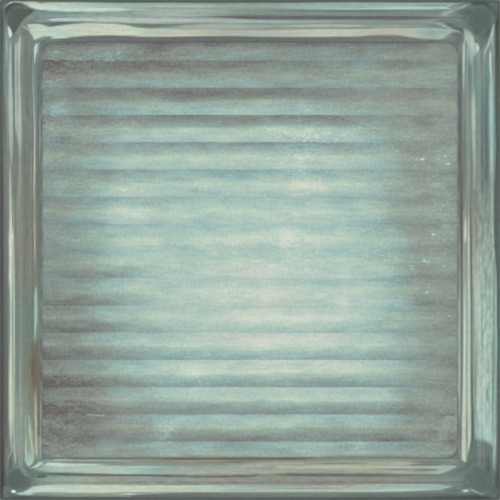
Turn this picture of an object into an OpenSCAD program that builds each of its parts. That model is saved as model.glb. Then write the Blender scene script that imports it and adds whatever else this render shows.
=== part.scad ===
// Ceramic wall tile with a glass-block face: pressed and glazed in one piece.
// A frame of two rolls with a groove between them runs round a sunk field of flutes,
// and a domed pad stands on each corner of the frame. The back has keying cells.
// The origin is the centre of the back, +Z points out of the glazed face, the flutes run
// along X, and +Y points to the top of the tile.

/* [Tile] */
// Width of the tile, along the flutes
tile_w = 200; // [120:1:400]
// Height of the tile, across the flutes
tile_h = 200; // [120:1:400]
// Radius of the tile's corners, seen from the front
tile_corner_r = 1.2; // [0.5:0.1:1.8]
// Thickness of the slab at the rim, outside the frame
rim_t = 5.8; // [4.8:0.1:12]
// Size of the bevel along the rim's outer edge, where the glaze rolls over
rim_bevel = 0.5; // [0.2:0.1:0.8]

/* [Frame] */
// Width of the rim that is left between the tile's edge and the frame
rim_w = 2; // [1:0.1:5]
// Width of the outer roll
outer_roll_w = 5.4; // [4:0.1:8]
// Height of the outer roll above the rim
outer_roll_rise = 2.6; // [1.8:0.1:3.2]
// Depth of the groove, below the crest of the outer roll
groove_depth = 0.8; // [0.4:0.1:1.2]
// Width of the inner roll from the groove to its crest
inner_roll_w = 3.5; // [2.5:0.1:6]
// Height of the inner roll above the rim
inner_roll_rise = 2.9; // [2.1:0.1:3.6]
// Width of the slope from the inner roll's crest down to its root
slope_w = 7.3; // [5:0.1:10]
// Radius of a corner pad
pad_r = 6.2; // [5:0.1:8]
// Height of the pads above the rim
pad_rise = 3.2; // [2.4:0.1:4]
// Radius of the domed top of a pad
pad_dome_r = 30; // [20:1:80]

/* [Field] */
// Distance from one flute to the next
flute_pitch = 10.9; // [6:0.1:20]
// Height of a flute's crest above the lines between the flutes
flute_rise = 0.7; // [0.3:0.05:1.2]
// Height of the lines between the flutes above the rim
flute_base = 0.3; // [0.15:0.05:0.6]
// Radius of the field's corners at the root of the slope
field_corner_r = 3.2; // [2:0.1:8]

/* [Back] */
// Number of keying cells along the width
cells_x = 6; // [2:2:12]
// Number of keying cells along the height
cells_y = 6; // [2:2:12]
// Depth of a keying cell
cell_depth = 0.9; // [0.3:0.1:1.8]
// Radius of a keying cell's corners
cell_corner_r = 3; // [1:0.1:4]
// Width of the ribs between the cells
rib_w = 3; // [1.5:0.1:5]
// Width of the flat border round the cells
border_w = 6; // [3:0.1:12]
// Size of the bevel round the back
back_bevel = 0.8; // [0.3:0.1:1.5]

/* [Hidden] */
$fn = 96;

GLAZE = [0.56, 0.64, 0.60];
// How far a cutter runs past the face it cuts.
PAST = 1;
// How deep the frame and the field are rooted in the slab.
ROOT = 0.6;
// How far a field corner sits under the crest of the inner roll.
UNDER = 0.1;
// How far a field corner's axis is moved out, so that it crosses the slopes cleanly.
CROSS = 0.15;

root_z = rim_t - ROOT;
outer_crest_z = rim_t + outer_roll_rise;
groove_z = outer_crest_z - groove_depth;
inner_crest_z = rim_t + inner_roll_rise;
pad_top_z = rim_t + pad_rise;
flute_base_z = rim_t + flute_base;

outer_half_w = outer_roll_w / 2;
outer_crest_d = rim_w + outer_half_w;
groove_d = rim_w + outer_roll_w;
inner_crest_d = groove_d + inner_roll_w;
frame_w = inner_crest_d + slope_w;
pad_d = rim_w + pad_r;

slope_drop = inner_crest_z - root_z;
slope_arc_r = arc_radius(slope_w, slope_drop);

flute_arc_r = arc_radius(flute_pitch / 2, flute_rise);
flute_crest_z = flute_base_z + flute_rise;
sheet_edge_d = (inner_crest_d + frame_w) / 2;

cell_w = (tile_w - 2 * border_w - (cells_x - 1) * rib_w) / cells_x;
cell_h = (tile_h - 2 * border_w - (cells_y - 1) * rib_w) / cells_y;

// Radius of an arc that starts level and has fallen by drop after run.
function arc_radius(run, drop) = (run * run + drop * drop) / (2 * drop);

// Rectangle about the origin with round corners.
module round_rect(w, h, r) {
    square([w - 2 * r, h], center = true);
    square([w, h - 2 * r], center = true);
    for (x = [-1, 1], y = [-1, 1]) {
        translate([x * (w / 2 - r), y * (h / 2 - r)]) circle(r = r);
    }
}

// Half of a roll's section: level at the crest above x = 0, fallen by drop at x = run.
module half_roll(crest_z, run, drop) {
    arc_r = arc_radius(run, drop);
    intersection() {
        translate([0, crest_z - arc_r]) circle(r = arc_r);
        translate([0, root_z]) square([run, crest_z - root_z]);
    }
}

// Section of one side of the frame: x is the distance from the tile's edge.
module frame_section() {
    translate([outer_crest_d, 0]) {
        mirror([1, 0]) half_roll(outer_crest_z, outer_half_w, outer_crest_z - root_z);
        half_roll(outer_crest_z, outer_half_w, groove_depth);
    }
    translate([inner_crest_d, 0]) {
        mirror([1, 0]) half_roll(inner_crest_z, inner_roll_w, inner_crest_z - groove_z);
        half_roll(inner_crest_z, slope_w, slope_drop);
    }
}

// One side of the frame, drawn for the edge of the tile that lies at y = 0, x centred.
module frame_side(length) {
    translate([-length / 2, 0, 0]) rotate([90, 0, 90]) linear_extrude(length) frame_section();
}

module frame() {
    for (turn = [0, 180]) {
        rotate(turn) translate([0, -tile_h / 2, 0]) frame_side(tile_w - 2 * pad_d);
        rotate(turn + 90) translate([0, -tile_w / 2, 0]) frame_side(tile_h - 2 * pad_d);
    }
}

// Places its children at a distance d from both edges in each corner, +X and +Y to the middle.
module at_corners(d) {
    for (x = [0, 1], y = [0, 1]) {
        mirror([x, 0, 0]) mirror([0, y, 0]) translate([d - tile_w / 2, d - tile_h / 2, 0]) children();
    }
}

// A turned pad with a round edge and a domed top.
module corner_pad() {
    rotate_extrude() intersection() {
        union() {
            translate([0, root_z]) square([pad_r, pad_top_z - outer_half_w - root_z]);
            translate([0, root_z]) square([pad_r - outer_half_w, pad_top_z - root_z]);
            translate([pad_r - outer_half_w, pad_top_z - outer_half_w]) circle(r = outer_half_w);
        }
        translate([0, pad_top_z - pad_dome_r]) circle(r = pad_dome_r);
        translate([0, root_z]) square([pad_r + PAST, pad_rise + ROOT + PAST]);
    }
}

// Rounds one corner of the field: the slope is turned about the corner's own axis.
module field_corner() {
    axis_d = frame_w + field_corner_r - CROSS;
    side = axis_d - inner_crest_d;
    crest_r = field_corner_r + slope_w;
    translate([axis_d - inner_crest_d, axis_d - inner_crest_d, 0]) difference() {
        translate([-side, -side, root_z]) cube([side, side, slope_drop - UNDER]);
        rotate_extrude() difference() {
            translate([0, root_z - PAST]) square([crest_r, slope_drop + 2 * PAST]);
            translate([crest_r, inner_crest_z - slope_arc_r]) circle(r = slope_arc_r);
        }
    }
}

// Section of the flutes, x across them: overlapping circles that meet in sharp lines.
module flute_section(span) {
    count = ceil(span / 2 / flute_pitch);
    intersection() {
        for (i = [-count : count - 1]) {
            translate([(i + 0.5) * flute_pitch, flute_crest_z - flute_arc_r]) circle(r = flute_arc_r);
        }
        translate([-span / 2, root_z]) square([span, flute_crest_z + PAST - root_z]);
    }
}

// The sheet of flutes, whose ends are buried in the frame's slopes.
module fluted_field() {
    length = tile_w - 2 * sheet_edge_d;
    span = tile_h - 2 * sheet_edge_d;
    translate([-length / 2, 0, 0]) rotate([90, 0, 90]) linear_extrude(length) flute_section(span);
}

// One bar that cuts a bevel of this size along an edge at y = 0, z = 0.
module bevel_cutter(length, size) {
    reach = size + PAST;
    translate([-length / 2, 0, 0]) rotate([90, 0, 90]) linear_extrude(length)
        polygon([[-PAST, -PAST], [reach, -PAST], [-PAST, reach]]);
}

// The four bars that bevel the slab's edges at z = 0.
module bevel_cutters(size) {
    for (turn = [0, 180]) {
        rotate(turn) translate([0, -tile_h / 2, 0]) bevel_cutter(tile_w + 2 * PAST, size);
        rotate(turn + 90) translate([0, -tile_w / 2, 0]) bevel_cutter(tile_h + 2 * PAST, size);
    }
}

module slab() {
    difference() {
        linear_extrude(rim_t) round_rect(tile_w, tile_h, tile_corner_r);
        bevel_cutters(back_bevel);
        translate([0, 0, rim_t]) mirror([0, 0, 1]) bevel_cutters(rim_bevel);
    }
}

module keying_cells() {
    translate([0, 0, -PAST]) linear_extrude(cell_depth + PAST) {
        for (i = [0 : cells_x - 1], j = [0 : cells_y - 1]) {
            x = (i - (cells_x - 1) / 2) * (cell_w + rib_w);
            y = (j - (cells_y - 1) / 2) * (cell_h + rib_w);
            translate([x, y]) round_rect(cell_w, cell_h, cell_corner_r);
        }
    }
}

module wall_tile() {
    color(GLAZE) difference() {
        union() {
            slab();
            frame();
            at_corners(pad_d) corner_pad();
            at_corners(inner_crest_d) field_corner();
            fluted_field();
        }
        keying_cells();
    }
}

wall_tile();
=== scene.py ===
"""Ceramic wall tile with a glass-block face: its moulded mesh, its printed glaze and a soft studio.

Lengths are in millimetres until they reach the mesh. Places on the face are given from its middle,
x along the flutes and y across them.
"""

import logging
import math
from dataclasses import dataclass
from enum import Enum

import bmesh
import bpy
import numpy as np
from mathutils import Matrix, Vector, noise

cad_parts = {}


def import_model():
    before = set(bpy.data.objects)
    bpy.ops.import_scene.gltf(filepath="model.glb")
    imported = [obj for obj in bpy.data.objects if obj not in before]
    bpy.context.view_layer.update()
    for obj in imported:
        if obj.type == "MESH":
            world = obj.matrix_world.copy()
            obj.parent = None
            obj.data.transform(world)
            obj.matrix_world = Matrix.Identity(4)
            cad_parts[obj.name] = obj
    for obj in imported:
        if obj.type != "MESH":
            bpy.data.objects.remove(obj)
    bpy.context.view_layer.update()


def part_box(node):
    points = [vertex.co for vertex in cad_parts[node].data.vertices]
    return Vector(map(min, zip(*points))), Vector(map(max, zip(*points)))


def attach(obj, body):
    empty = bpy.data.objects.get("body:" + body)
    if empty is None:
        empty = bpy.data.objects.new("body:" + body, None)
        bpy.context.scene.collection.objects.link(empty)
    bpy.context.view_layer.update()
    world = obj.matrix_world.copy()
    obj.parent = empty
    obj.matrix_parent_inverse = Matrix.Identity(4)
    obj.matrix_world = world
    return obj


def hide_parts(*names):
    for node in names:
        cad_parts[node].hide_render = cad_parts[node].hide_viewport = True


NODE = "wall_tile"
MM = 0.001
BAKE_MAP = "OFBake"
# How steeply an arc goes on past its end.
STEEP = 6
# In metres: how near a cut comes to a corner before it takes it, and the least rise of an upright edge.
SNAP = 1e-7
LEAST_RISE = 1e-5

log = logging.getLogger("wall_tile")

Tree = bpy.types.NodeTree
Link = bpy.types.NodeSocket | float | tuple
Stops = tuple[tuple[float, str], ...]
Curve = tuple[tuple[float, float], ...]
# Where a change starts and ends, and what it goes from and to.
Range = tuple[float, float, float, float]


class Slot(Enum):
    """Which finish a face of the tile wears."""

    FACE = 0
    EDGE = 1
    BACK = 2


class Side(Enum):
    """The four sides of the frame."""

    TOP = "top"
    BOTTOM = "bottom"
    LEFT = "left"
    RIGHT = "right"

    def along_and_depth(self, x: np.ndarray, y: np.ndarray, half: float) -> tuple[np.ndarray, np.ndarray]:
        """Gives points' places along the side, and their distances from the tile's edge there."""
        along, across = (x, y) if self in (Side.TOP, Side.BOTTOM) else (y, x)
        return along, half - across if self in (Side.TOP, Side.RIGHT) else half + across


def linear(code: str) -> tuple[float, float, float, float]:
    """Turns an sRGB hex colour to the linear one that a shader takes, with an alpha of 1."""
    parts = [int(code[i : i + 2], 16) / 255 for i in (1, 3, 5)]
    lit = [c / 12.92 if c <= 0.04045 else ((c + 0.055) / 1.055) ** 2.4 for c in parts]
    return (lit[0], lit[1], lit[2], 1.0)


def add(
    tree: Tree, kind: str, links: tuple | dict = (), out: int = 0, **settings: object
) -> bpy.types.NodeSocket:
    """Adds a shader node with its settings and links.

    Args:
        tree: The material's node tree.
        kind: The node's type without its ShaderNode prefix.
        links: Values or sockets for its inputs, in order or by index or name.
        out: Which output to return.
        **settings: The node's own properties; stops fills a colour ramp and bends a curve.

    Returns:
        The chosen output.
    """
    node = tree.nodes.new(f"ShaderNode{kind}")
    stops = settings.pop("stops", ())
    bends = settings.pop("bends", ())
    for name, value in settings.items():
        setattr(node, name, value)
    for key, value in (links if isinstance(links, dict) else dict(enumerate(links))).items():
        if isinstance(value, bpy.types.NodeSocket):
            tree.links.new(value, node.inputs[key])
        else:
            node.inputs[key].default_value = value
    for i, (place, code) in enumerate(stops):
        ramp = node.color_ramp.elements
        element = ramp[i] if i < 2 else ramp.new(1.0)
        element.position = place
        element.color = linear(code)
    for i, bend in enumerate(bends):
        points = node.mapping.curves[0].points
        point = points[0] if i == 0 else points[-1] if i == len(bends) - 1 else points.new(*bend)
        point.location = bend
    if bends:
        node.mapping.update()
    return node.outputs[out]


def smooth_max(a: float, b: float, reach: float) -> float:
    """Larger of two heights, with the corner between them filled over a reach."""
    near = max(reach - abs(a - b), 0.0) / reach
    return max(a, b) + near * near * reach / 4


def arc_radius(run: float, drop: float) -> float:
    """Radius of an arc that starts level and has fallen by drop after run."""
    return (run * run + drop * drop) / (2 * drop)


def fall(run: float, radius: float) -> float:
    """How far an arc that starts level has fallen after run, going on steeply past its end."""
    if run >= radius:
        return radius + (run - radius) * STEEP
    return radius - math.sqrt(radius * radius - run * run)


def ease(value: float, low: float, high: float) -> float:
    """Goes smoothly from 0 at low to 1 at high."""
    t = min(max((value - low) / (high - low), 0.0), 1.0)
    return t * t * (3 - 2 * t)


@dataclass(frozen=True)
class Relief:
    """Heights of the glazed face from the back, worked out from a place on it."""

    half_w: float
    half_h: float
    top: float
    rim: float = 5.8
    rim_round: float = 0.5
    rim_w: float = 2.0
    corner_r: float = 1.2
    outer_crest: float = 8.4
    outer_half_w: float = 2.7
    groove: float = 7.6
    inner_crest: float = 8.7
    inner_w: float = 3.5
    slope_w: float = 7.3
    root: float = 5.2
    pad_r: float = 6.2
    pad_dome_r: float = 30.0
    field_corner_r: float = 3.2
    pitch: float = 10.9
    flute_base: float = 6.1
    flute_rise: float = 0.7
    # How far the rolls start before and reach past the middle of a pad.
    roll_start: float = 2.5
    roll_end: float = 1.0
    # How far the glaze fills a corner: of the moulding, where two sides meet, and between flutes.
    glaze_fill: float = 0.3
    mitre_fill: float = 0.25
    flute_fill: float = 0.12
    # The glaze's slow waves: how deep they are and their mean, each one's length, layer of noise and
    # share, and how far from the edge they are full.
    glaze_swell: float = 0.03
    swell_mean: float = 0.75
    waves: tuple = ((9.0, 0.7, 0.5), (4.0, 3.1, 0.25))
    swell_full: float = 3.0

    @property
    def outer_d(self) -> float:
        """Distance of the outer roll's crest from the edge."""
        return self.rim_w + self.outer_half_w

    @property
    def inner_d(self) -> float:
        """Distance of the inner roll's crest from the edge."""
        return self.rim_w + 2 * self.outer_half_w + self.inner_w

    @property
    def field_axis_d(self) -> float:
        """Distance from the edges to the axis about which a corner of the field is turned."""
        return self.inner_d + self.slope_w + self.field_corner_r

    @property
    def pad_d(self) -> float:
        """Distance from the edges to the middle of a corner pad."""
        return self.rim_w + self.pad_r

    def rim_height(self, d: float) -> float:
        """Height of the rim, whose glaze rolls over the tile's edge."""
        return self.rim - fall(max(self.rim_round - d, 0.0), self.rim_round)

    def slope_height(self, run: float) -> float:
        """Height of the slope from the inner roll's crest down to the field."""
        return self.inner_crest - fall(run, arc_radius(self.slope_w, self.inner_crest - self.root))

    def side_height(self, d: float) -> float:
        """Height of a side's two rolls and its rim, at a distance from the tile's edge."""
        out = d - self.outer_d
        low = self.root if out < 0 else self.groove
        outer = self.outer_crest - fall(abs(out), arc_radius(self.outer_half_w, self.outer_crest - low))
        inward = d - self.inner_d
        if inward < 0:
            rise = arc_radius(self.inner_w, self.inner_crest - self.groove)
            inner = self.inner_crest - fall(-inward, rise)
        else:
            inner = self.slope_height(inward)
        rolls = smooth_max(outer, inner, self.glaze_fill)
        return smooth_max(rolls, self.rim_height(d), self.glaze_fill)

    def pad_height(self, r: float) -> float:
        """Height of a corner pad's dome or its round edge, at a distance from its middle."""
        dome = self.top - fall(r, self.pad_dome_r)
        past = r - (self.pad_r - self.outer_half_w)
        return min(dome, self.top - fall(max(past, 0.0), self.outer_half_w))

    def flute_height(self, y: float) -> float:
        """Height of the fluted field, with the lines between the flutes filled by glaze."""
        radius = arc_radius(self.pitch / 2, self.flute_rise)
        t = abs((y / self.pitch) % 1.0 - 0.5) * self.pitch
        crest = self.flute_base + self.flute_rise
        return smooth_max(crest - fall(t, radius), crest - fall(self.pitch - t, radius), self.flute_fill)

    def swell(self, x: float, y: float) -> float:
        """Depth that the glaze lacks at a place."""
        waves = (part * noise.noise(Vector((x / run, y / run, layer))) for run, layer, part in self.waves)
        return self.glaze_swell * (self.swell_mean + sum(waves))

    def height(self, x: float, y: float) -> float:
        """Height of the face above the back, at a place along and across the flutes."""
        dx, dy = self.half_w - abs(x), self.half_h - abs(y)
        rim = self.rim_height(min(dx, dy))
        start, end = self.pad_d - self.roll_start, self.pad_d + self.roll_end
        upright = rim + (self.side_height(dx) - rim) * ease(dy, start, end)
        level = rim + (self.side_height(dy) - rim) * ease(dx, start, end)
        z = smooth_max(upright, level, self.mitre_fill)
        if min(dx, dy) > self.inner_d:
            u, v = max(self.field_axis_d - dx, 0.0), max(self.field_axis_d - dy, 0.0)
            run = self.field_axis_d - math.hypot(u, v) - self.inner_d
            z = smooth_max(max(z, self.slope_height(max(run, 0.0))), self.flute_height(y), self.glaze_fill)
        pad = self.pad_height(math.hypot(dx - self.pad_d, dy - self.pad_d))
        z = min(smooth_max(z, pad, self.glaze_fill), self.top)
        return z - self.swell(x, y) * ease(min(dx, dy), 0, self.swell_full)


def through(place: np.ndarray, value: np.ndarray, at: np.ndarray) -> np.ndarray:
    """Follows a smooth curve through points.

    Args:
        place: The points' places, rising.
        value: Their values.
        at: The places asked for.

    Returns:
        The values there, held level past the ends.
    """
    rise = np.diff(value) / np.diff(place)
    level = rise[:-1] * rise[1:] <= 0
    safe = np.where(level, 1.0, rise[:-1] + rise[1:])
    slope = np.concatenate((rise[:1], np.where(level, 0.0, 2 * rise[:-1] * rise[1:] / safe), rise[-1:]))
    i = np.clip(np.searchsorted(place, at) - 1, 0, len(place) - 2)
    run = place[i + 1] - place[i]
    t = np.clip((at - place[i]) / run, 0.0, 1.0)
    ends = value[i] * (1 + 2 * t) * (1 - t) ** 2 + value[i + 1] * t**2 * (3 - 2 * t)
    return ends + run * (slope[i] * t * (1 - t) ** 2 - slope[i + 1] * t**2 * (1 - t))


def soft_step(t: np.ndarray) -> np.ndarray:
    """Goes smoothly from 0 at 0 to 1 at 1, for every point."""
    t = np.clip(t, 0.0, 1.0)
    return t * t * (3 - 2 * t)


def tones_at(stops: Stops, at: np.ndarray) -> np.ndarray:
    """Gives the linear colour at each place along a row of tones."""
    lit = np.array([linear(code)[:3] for _, code in stops])
    return np.column_stack([np.interp(at, [place for place, _ in stops], band) for band in lit.T])


@dataclass(frozen=True)
class Streak:
    """A brushed band or lens of the frame's print, drawn between two curved outlines.

    The outline is given as (along, outer, inner): a place along the side, and the distances of its
    two edges from the tile's edge there. The tones lie along it too, or one tone fills it.
    """

    outline: tuple[tuple[float, float, float], ...]
    tones: Stops | str
    soft: float = 0.4
    strength: float = 1.0

    def lay(self, colours: np.ndarray, along: np.ndarray, depth: np.ndarray) -> None:
        """Lays the streak over the colours.

        Args:
            colours: Linear colours, one row a point, changed in place.
            along: The points' places along the side.
            depth: The points' distances from the tile's edge.
        """
        place, outer, inner = np.array(self.outline, dtype=float).T
        inside = np.minimum(depth - through(place, outer, along), through(place, inner, along) - depth)
        inside[(along < place[0]) | (along > place[-1])] = 0.0
        stops = ((0.0, self.tones),) if isinstance(self.tones, str) else self.tones
        share = self.strength * soft_step(inside / self.soft)
        colours += share[:, None] * (tones_at(stops, along) - colours)


# Distance from the tile's edge to the field, and the radii of the field's corners.
FIELD_EDGE = 17.2
FIELD_CORNER = 5.5
SHARP_CORNER = 3.5
# How wide the frame's print fades into the field's.
FIELD_FADE = 1.0
# The frame's print before its streaks, by the distance from the edge.
GROUND_TONES = ((0, "#555e5a"), (1.0, "#58625d"), (2.4, "#66736e"), (5, "#74837d"), (13, "#74837d"),
                (15, "#68746f"))
# The gloss over the rolls and round a corner pad adds light, and the light on the print is not full.
# Both are taken off the ink: by the distance from the edge, and from the middle of a pad.
GLOSS_VEIL = ((0, 0.01), (0.6, 0.005), (1.1, 0.0), (1.6, 0.0), (2.4, 0.035), (3.5, 0.065), (4.7, 0.03),
              (6, 0.055), (7.5, 0.04), (12, 0.03), (13.5, 0.055), (15.5, 0.07), (17, 0.04))
PRINT_GAIN = ((0, 0.88), (1, 0.88), (1.5, 0.76), (2, 0.84), (2.5, 0.9), (17, 0.9))
PAD_MIDDLE = 8.2
PAD_VEIL = ((0, 0), (4.5, 0), (5.0, 0.026), (5.6, 0.031), (6.2, 0.021), (7.2, 0.012), (8.2, 0))
# Where the rolls end along a side, how wide they fade there, and the gain beyond them.
ROLLS_END = 80
ROLLS_FADE = 6
CORNER_GAIN = 0.95
# The darkest and the lightest ink.
DARKEST_INK = 0.01
LIGHTEST_INK = 0.9

# The streaks of the four sides, laid over one another in their order, and then the corners'.
TOP_PRINT = (
    Streak(((-98, 1, 2), (-83, 1, 17), (-79, 1, 17), (79, 1, 17), (83, 1, 17), (98, 1, 2)),
           ((-90, "#74827e"), (-80, "#7c8d88"), (-60, "#8c9f98"), (-40, "#92a299"), (-20, "#95a49c"),
            (0, "#8c9790"), (30, "#87938d"), (70, "#84918b"), (90, "#6f7a77")), soft=1.0),
    Streak(((-96, 1, 1.4), (-92, 0.7, 1.5), (-89, 0.7, 2.5), (-85, 0.8, 4), (-78, 0.9, 4.6), (-66, 1, 4.7),
            (-56, 1.2, 4.5), (-48, 1.3, 3.5), (-30, 1.2, 3.2), (-10, 1.4, 3), (5, 1.4, 3.1), (18, 1.2, 3.9),
            (40, 1, 4.2), (70, 1.1, 4.2), (77, 1.1, 3.9), (79.5, 1.1, 3.1), (81.5, 1.1, 2.3), (84, 1.1, 1.9),
            (88, 1.2, 1.6)),
           ((-96, "#b5cbbf"), (-90, "#bfcfc2"), (-84, "#c2d0c2"), (-74, "#b5c8bb"), (-60, "#a3b9b0"),
            (-40, "#97aea6"), (-10, "#8fa59c"), (10, "#90a69d"), (30, "#93aea8"), (60, "#93aca5"),
            (80, "#98b1a9"), (88, "#8fa8a0"))),
    Streak(((-88, 1.9, 3.1), (-84, 3.1, 4.3), (-76, 3.3, 5), (-64, 3.2, 5.1), (-54, 3.3, 5), (-46, 3.6, 4.5),
            (-36, 3.7, 4.1)),
           ((-88, "#c3d2c5"), (-76, "#c3d8cc"), (-60, "#c6d6ca"), (-46, "#b2c3b8"), (-36, "#9cb0a6"))),
    Streak(((14, 3.5, 3.8), (24, 3.5, 4.2), (40, 3.5, 4.3), (60, 3, 4.2), (76, 3, 4.2), (81, 3.4, 3.8)),
           ((14, "#a8c3bb"), (50, "#a8c3bb"), (60, "#b3cec6"), (81, "#acc9c1"))),
    Streak(((64, 2.2, 2.6), (72, 1.8, 2.8), (79, 1.9, 2.7)), "#7f978f"),
    Streak(((-89, 1, 1.6), (-87, 0.8, 2.3), (-84, 0.9, 2.3), (-81.5, 1.5, 2)), "#c9d6c8"),
    Streak(((-85.5, 0.8, 1.3), (-83, 0.7, 1.8), (-80.5, 0.9, 1.4)), "#84918a"),
    Streak(((-87, 4.5, 7.1), (-82, 4.5, 8.5), (-79, 4.9, 7.7), (-70, 5, 7.4), (-56, 4.9, 7.4),
            (-48, 4.7, 7.4), (-40, 4.7, 7.5), (-34, 4.9, 7.3), (-28, 5.7, 6.7)),
           ((-87, "#788a86"), (-80, "#7f938f"), (-72, "#8ca29d"), (-60, "#97aba4"), (-50, "#95aaa3"),
            (-40, "#98a7a0"), (-28, "#9daaa3")), soft=0.6),
    Streak(((-26, 6.8, 7), (-16, 6.5, 7.2), (-6, 6.2, 7.7), (4, 6.1, 8.2), (14, 6.2, 8.3), (24, 6.2, 8.3),
            (40, 6.3, 8.4), (56, 6.3, 8.6), (70, 6.5, 8.3), (75, 6.9, 7.8), (78, 7.2, 7.5)),
           ((-26, "#7b807b"), (-6, "#6a6967"), (10, "#6a6e6d"), (40, "#686b6d"), (60, "#666a6b"),
            (78, "#737b78"))),
    Streak(((2, 4.4, 4.7), (12, 4.2, 5), (24, 4.2, 5), (40, 4.2, 5.1), (56, 4.2, 5), (70, 4.3, 4.9),
            (78, 4.2, 4.5)), ((2, "#78847f"), (24, "#6b7873"), (60, "#65746e"), (78, "#707e79"))),
    Streak(((-46, 3.8, 6.5), (-36, 3.6, 6.9), (-24, 3.6, 7), (-14, 3.9, 6.5), (-8, 4.5, 5.7)),
           ((-46, "#a0aea6"), (-30, "#a9b5ac"), (-8, "#98a49c")), soft=0.8),
    Streak(((-48, 2.5, 2.9), (-36, 2.3, 3.1), (-24, 2.3, 3.1), (-12, 2.4, 2.9)), "#b3c5bb"),
    Streak(((-81, 7.9, 8.2), (-78, 7.4, 8.9), (-66, 6.9, 8.9), (-56, 6.9, 9.2), (-46, 7, 9.5), (-34, 7, 9.4),
            (-20, 7.5, 9.2), (-6, 7.8, 9.5), (6, 8.2, 9.8), (20, 8.3, 9.9), (34, 8.5, 9.5)),
           ((-81, "#b2c6bb"), (-64, "#b3c7bb"), (-46, "#adbcb2"), (-30, "#abb9af"), (-10, "#9fb0aa"),
            (10, "#96aaa6"), (34, "#909d97"))),
    Streak(((-28, 9.8, 11.6), (-12, 9.4, 12.2), (0, 9.7, 12.2), (9, 10, 11.6)),
           ((-28, "#a5b0a6"), (-12, "#aab5ac"), (9, "#9da8a0")), soft=0.8, strength=0.8),
    Streak(((-88, 9, 9.3), (-85, 8.8, 9.6), (-81, 8.7, 10.5), (-78.5, 8.8, 10.8), (-76, 8.8, 10.3),
            (-72, 8.9, 9.9), (-64, 9, 9.6), (-56, 9.1, 9.7), (-50, 9.3, 10.1), (-46, 9.5, 11),
            (-40, 9.6, 11.6), (-34, 9.6, 11.3), (-26, 9.4, 10.6), (-16, 9.3, 9.9), (-6, 9.4, 9.8)),
           ((-88, "#74827f"), (-80, "#607070"), (-72, "#61666a"), (-60, "#748079"), (-48, "#7a847c"),
            (-36, "#78837b"), (-20, "#868e86"), (-6, "#93a097"))),
    Streak(((-89, 10, 10.4), (-88, 9.8, 12.3), (-87, 9.7, 14.5), (-86, 9.7, 16.3), (-84, 9.8, 15.6),
            (-82, 10.3, 14.9), (-80, 10.9, 14.8), (-77, 10.5, 15.5), (-72, 9.9, 15.1), (-64, 9.4, 14.6),
            (-56, 9.6, 14.4), (-50, 10.1, 14.5), (-46, 11, 14.7), (-40, 11.6, 15), (-34, 11.6, 14.9),
            (-25, 11.8, 14.9), (-15, 11.8, 14.7), (-5, 12.1, 14.7), (5, 12, 15), (15, 11.9, 15.1),
            (25, 11.7, 15.1), (35, 11.6, 15), (45, 11.6, 14.7), (50, 11.5, 14.3), (57, 11.4, 14.3),
            (64, 11.4, 15.2), (70, 11.1, 15.9), (75, 11.3, 16.2), (77.5, 11.6, 15.4), (79, 11.9, 14.3),
            (81, 12.4, 13.2), (83, 12.8, 13)),
           ((-89, "#bccabc"), (-84, "#c6d1c3"), (-78, "#bccfc2"), (-74, "#bfcfc0"), (-66, "#c6cdbe"),
            (-55, "#cacfbf"), (-48, "#c9d3c1"), (-40, "#bdc6b6"), (-25, "#bfc1b3"), (-15, "#b9b8ac"),
            (0, "#a9b9ad"), (12, "#b1b8ac"), (30, "#c2c8b9"), (45, "#bcbfb1"), (55, "#b9b9a9"),
            (65, "#b2beb1"), (72, "#9bada7"), (76, "#9fb4ac"), (80, "#a3b3a9"), (84, "#a3b2a8"))),
    Streak(((-81, 14.9, 15.2), (-78, 14.9, 15.9), (-74, 14.9, 15.7), (-69, 14.8, 15.1)), "#cddacb"),
    Streak(((-6, 10.4, 10.8), (14, 10.2, 11.1), (28, 9.8, 11.2), (42, 9.9, 11.2), (52, 10.2, 10.9)),
           ((-6, "#a0aea4"), (28, "#afbaae"), (42, "#a9b3a8"), (52, "#9aa59c"))),
    Streak(((10, 11.1, 11.5), (20, 11, 11.7), (32, 11, 11.7), (42, 11.2, 11.6)), "#93a097"),
    Streak(((44, 10, 11.3), (54, 9.7, 11.8), (66, 9.7, 11.8), (72, 10.3, 11.1)),
           ((44, "#9ca69c"), (56, "#99a49a"), (72, "#8b978f")), soft=0.9),
    Streak(((-85, 16.3, 17.4), (-80, 15.6, 17.7), (-74, 15.3, 17.7), (-66, 14.6, 17.7), (-56, 14.2, 17.7),
            (-40, 14.9, 17.9), (-20, 14.6, 17.7), (-8, 14.6, 17.9), (10, 14.9, 17.6), (24, 15, 17.1),
            (40, 14.9, 17), (50, 14.3, 16.8), (60, 14.6, 17), (70, 15.7, 17.1), (78, 15.9, 17.2),
            (81, 16.5, 17)),
           ((-85, "#6a7a77"), (-76, "#66736f"), (-62, "#6f7170"), (-40, "#716f6e"), (-20, "#6b6c6a"),
            (0, "#6b6f6c"), (20, "#6c6f6d"), (36, "#6f7370"), (50, "#787872"), (62, "#767973"),
            (81, "#717672")), soft=0.5),
)
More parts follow.
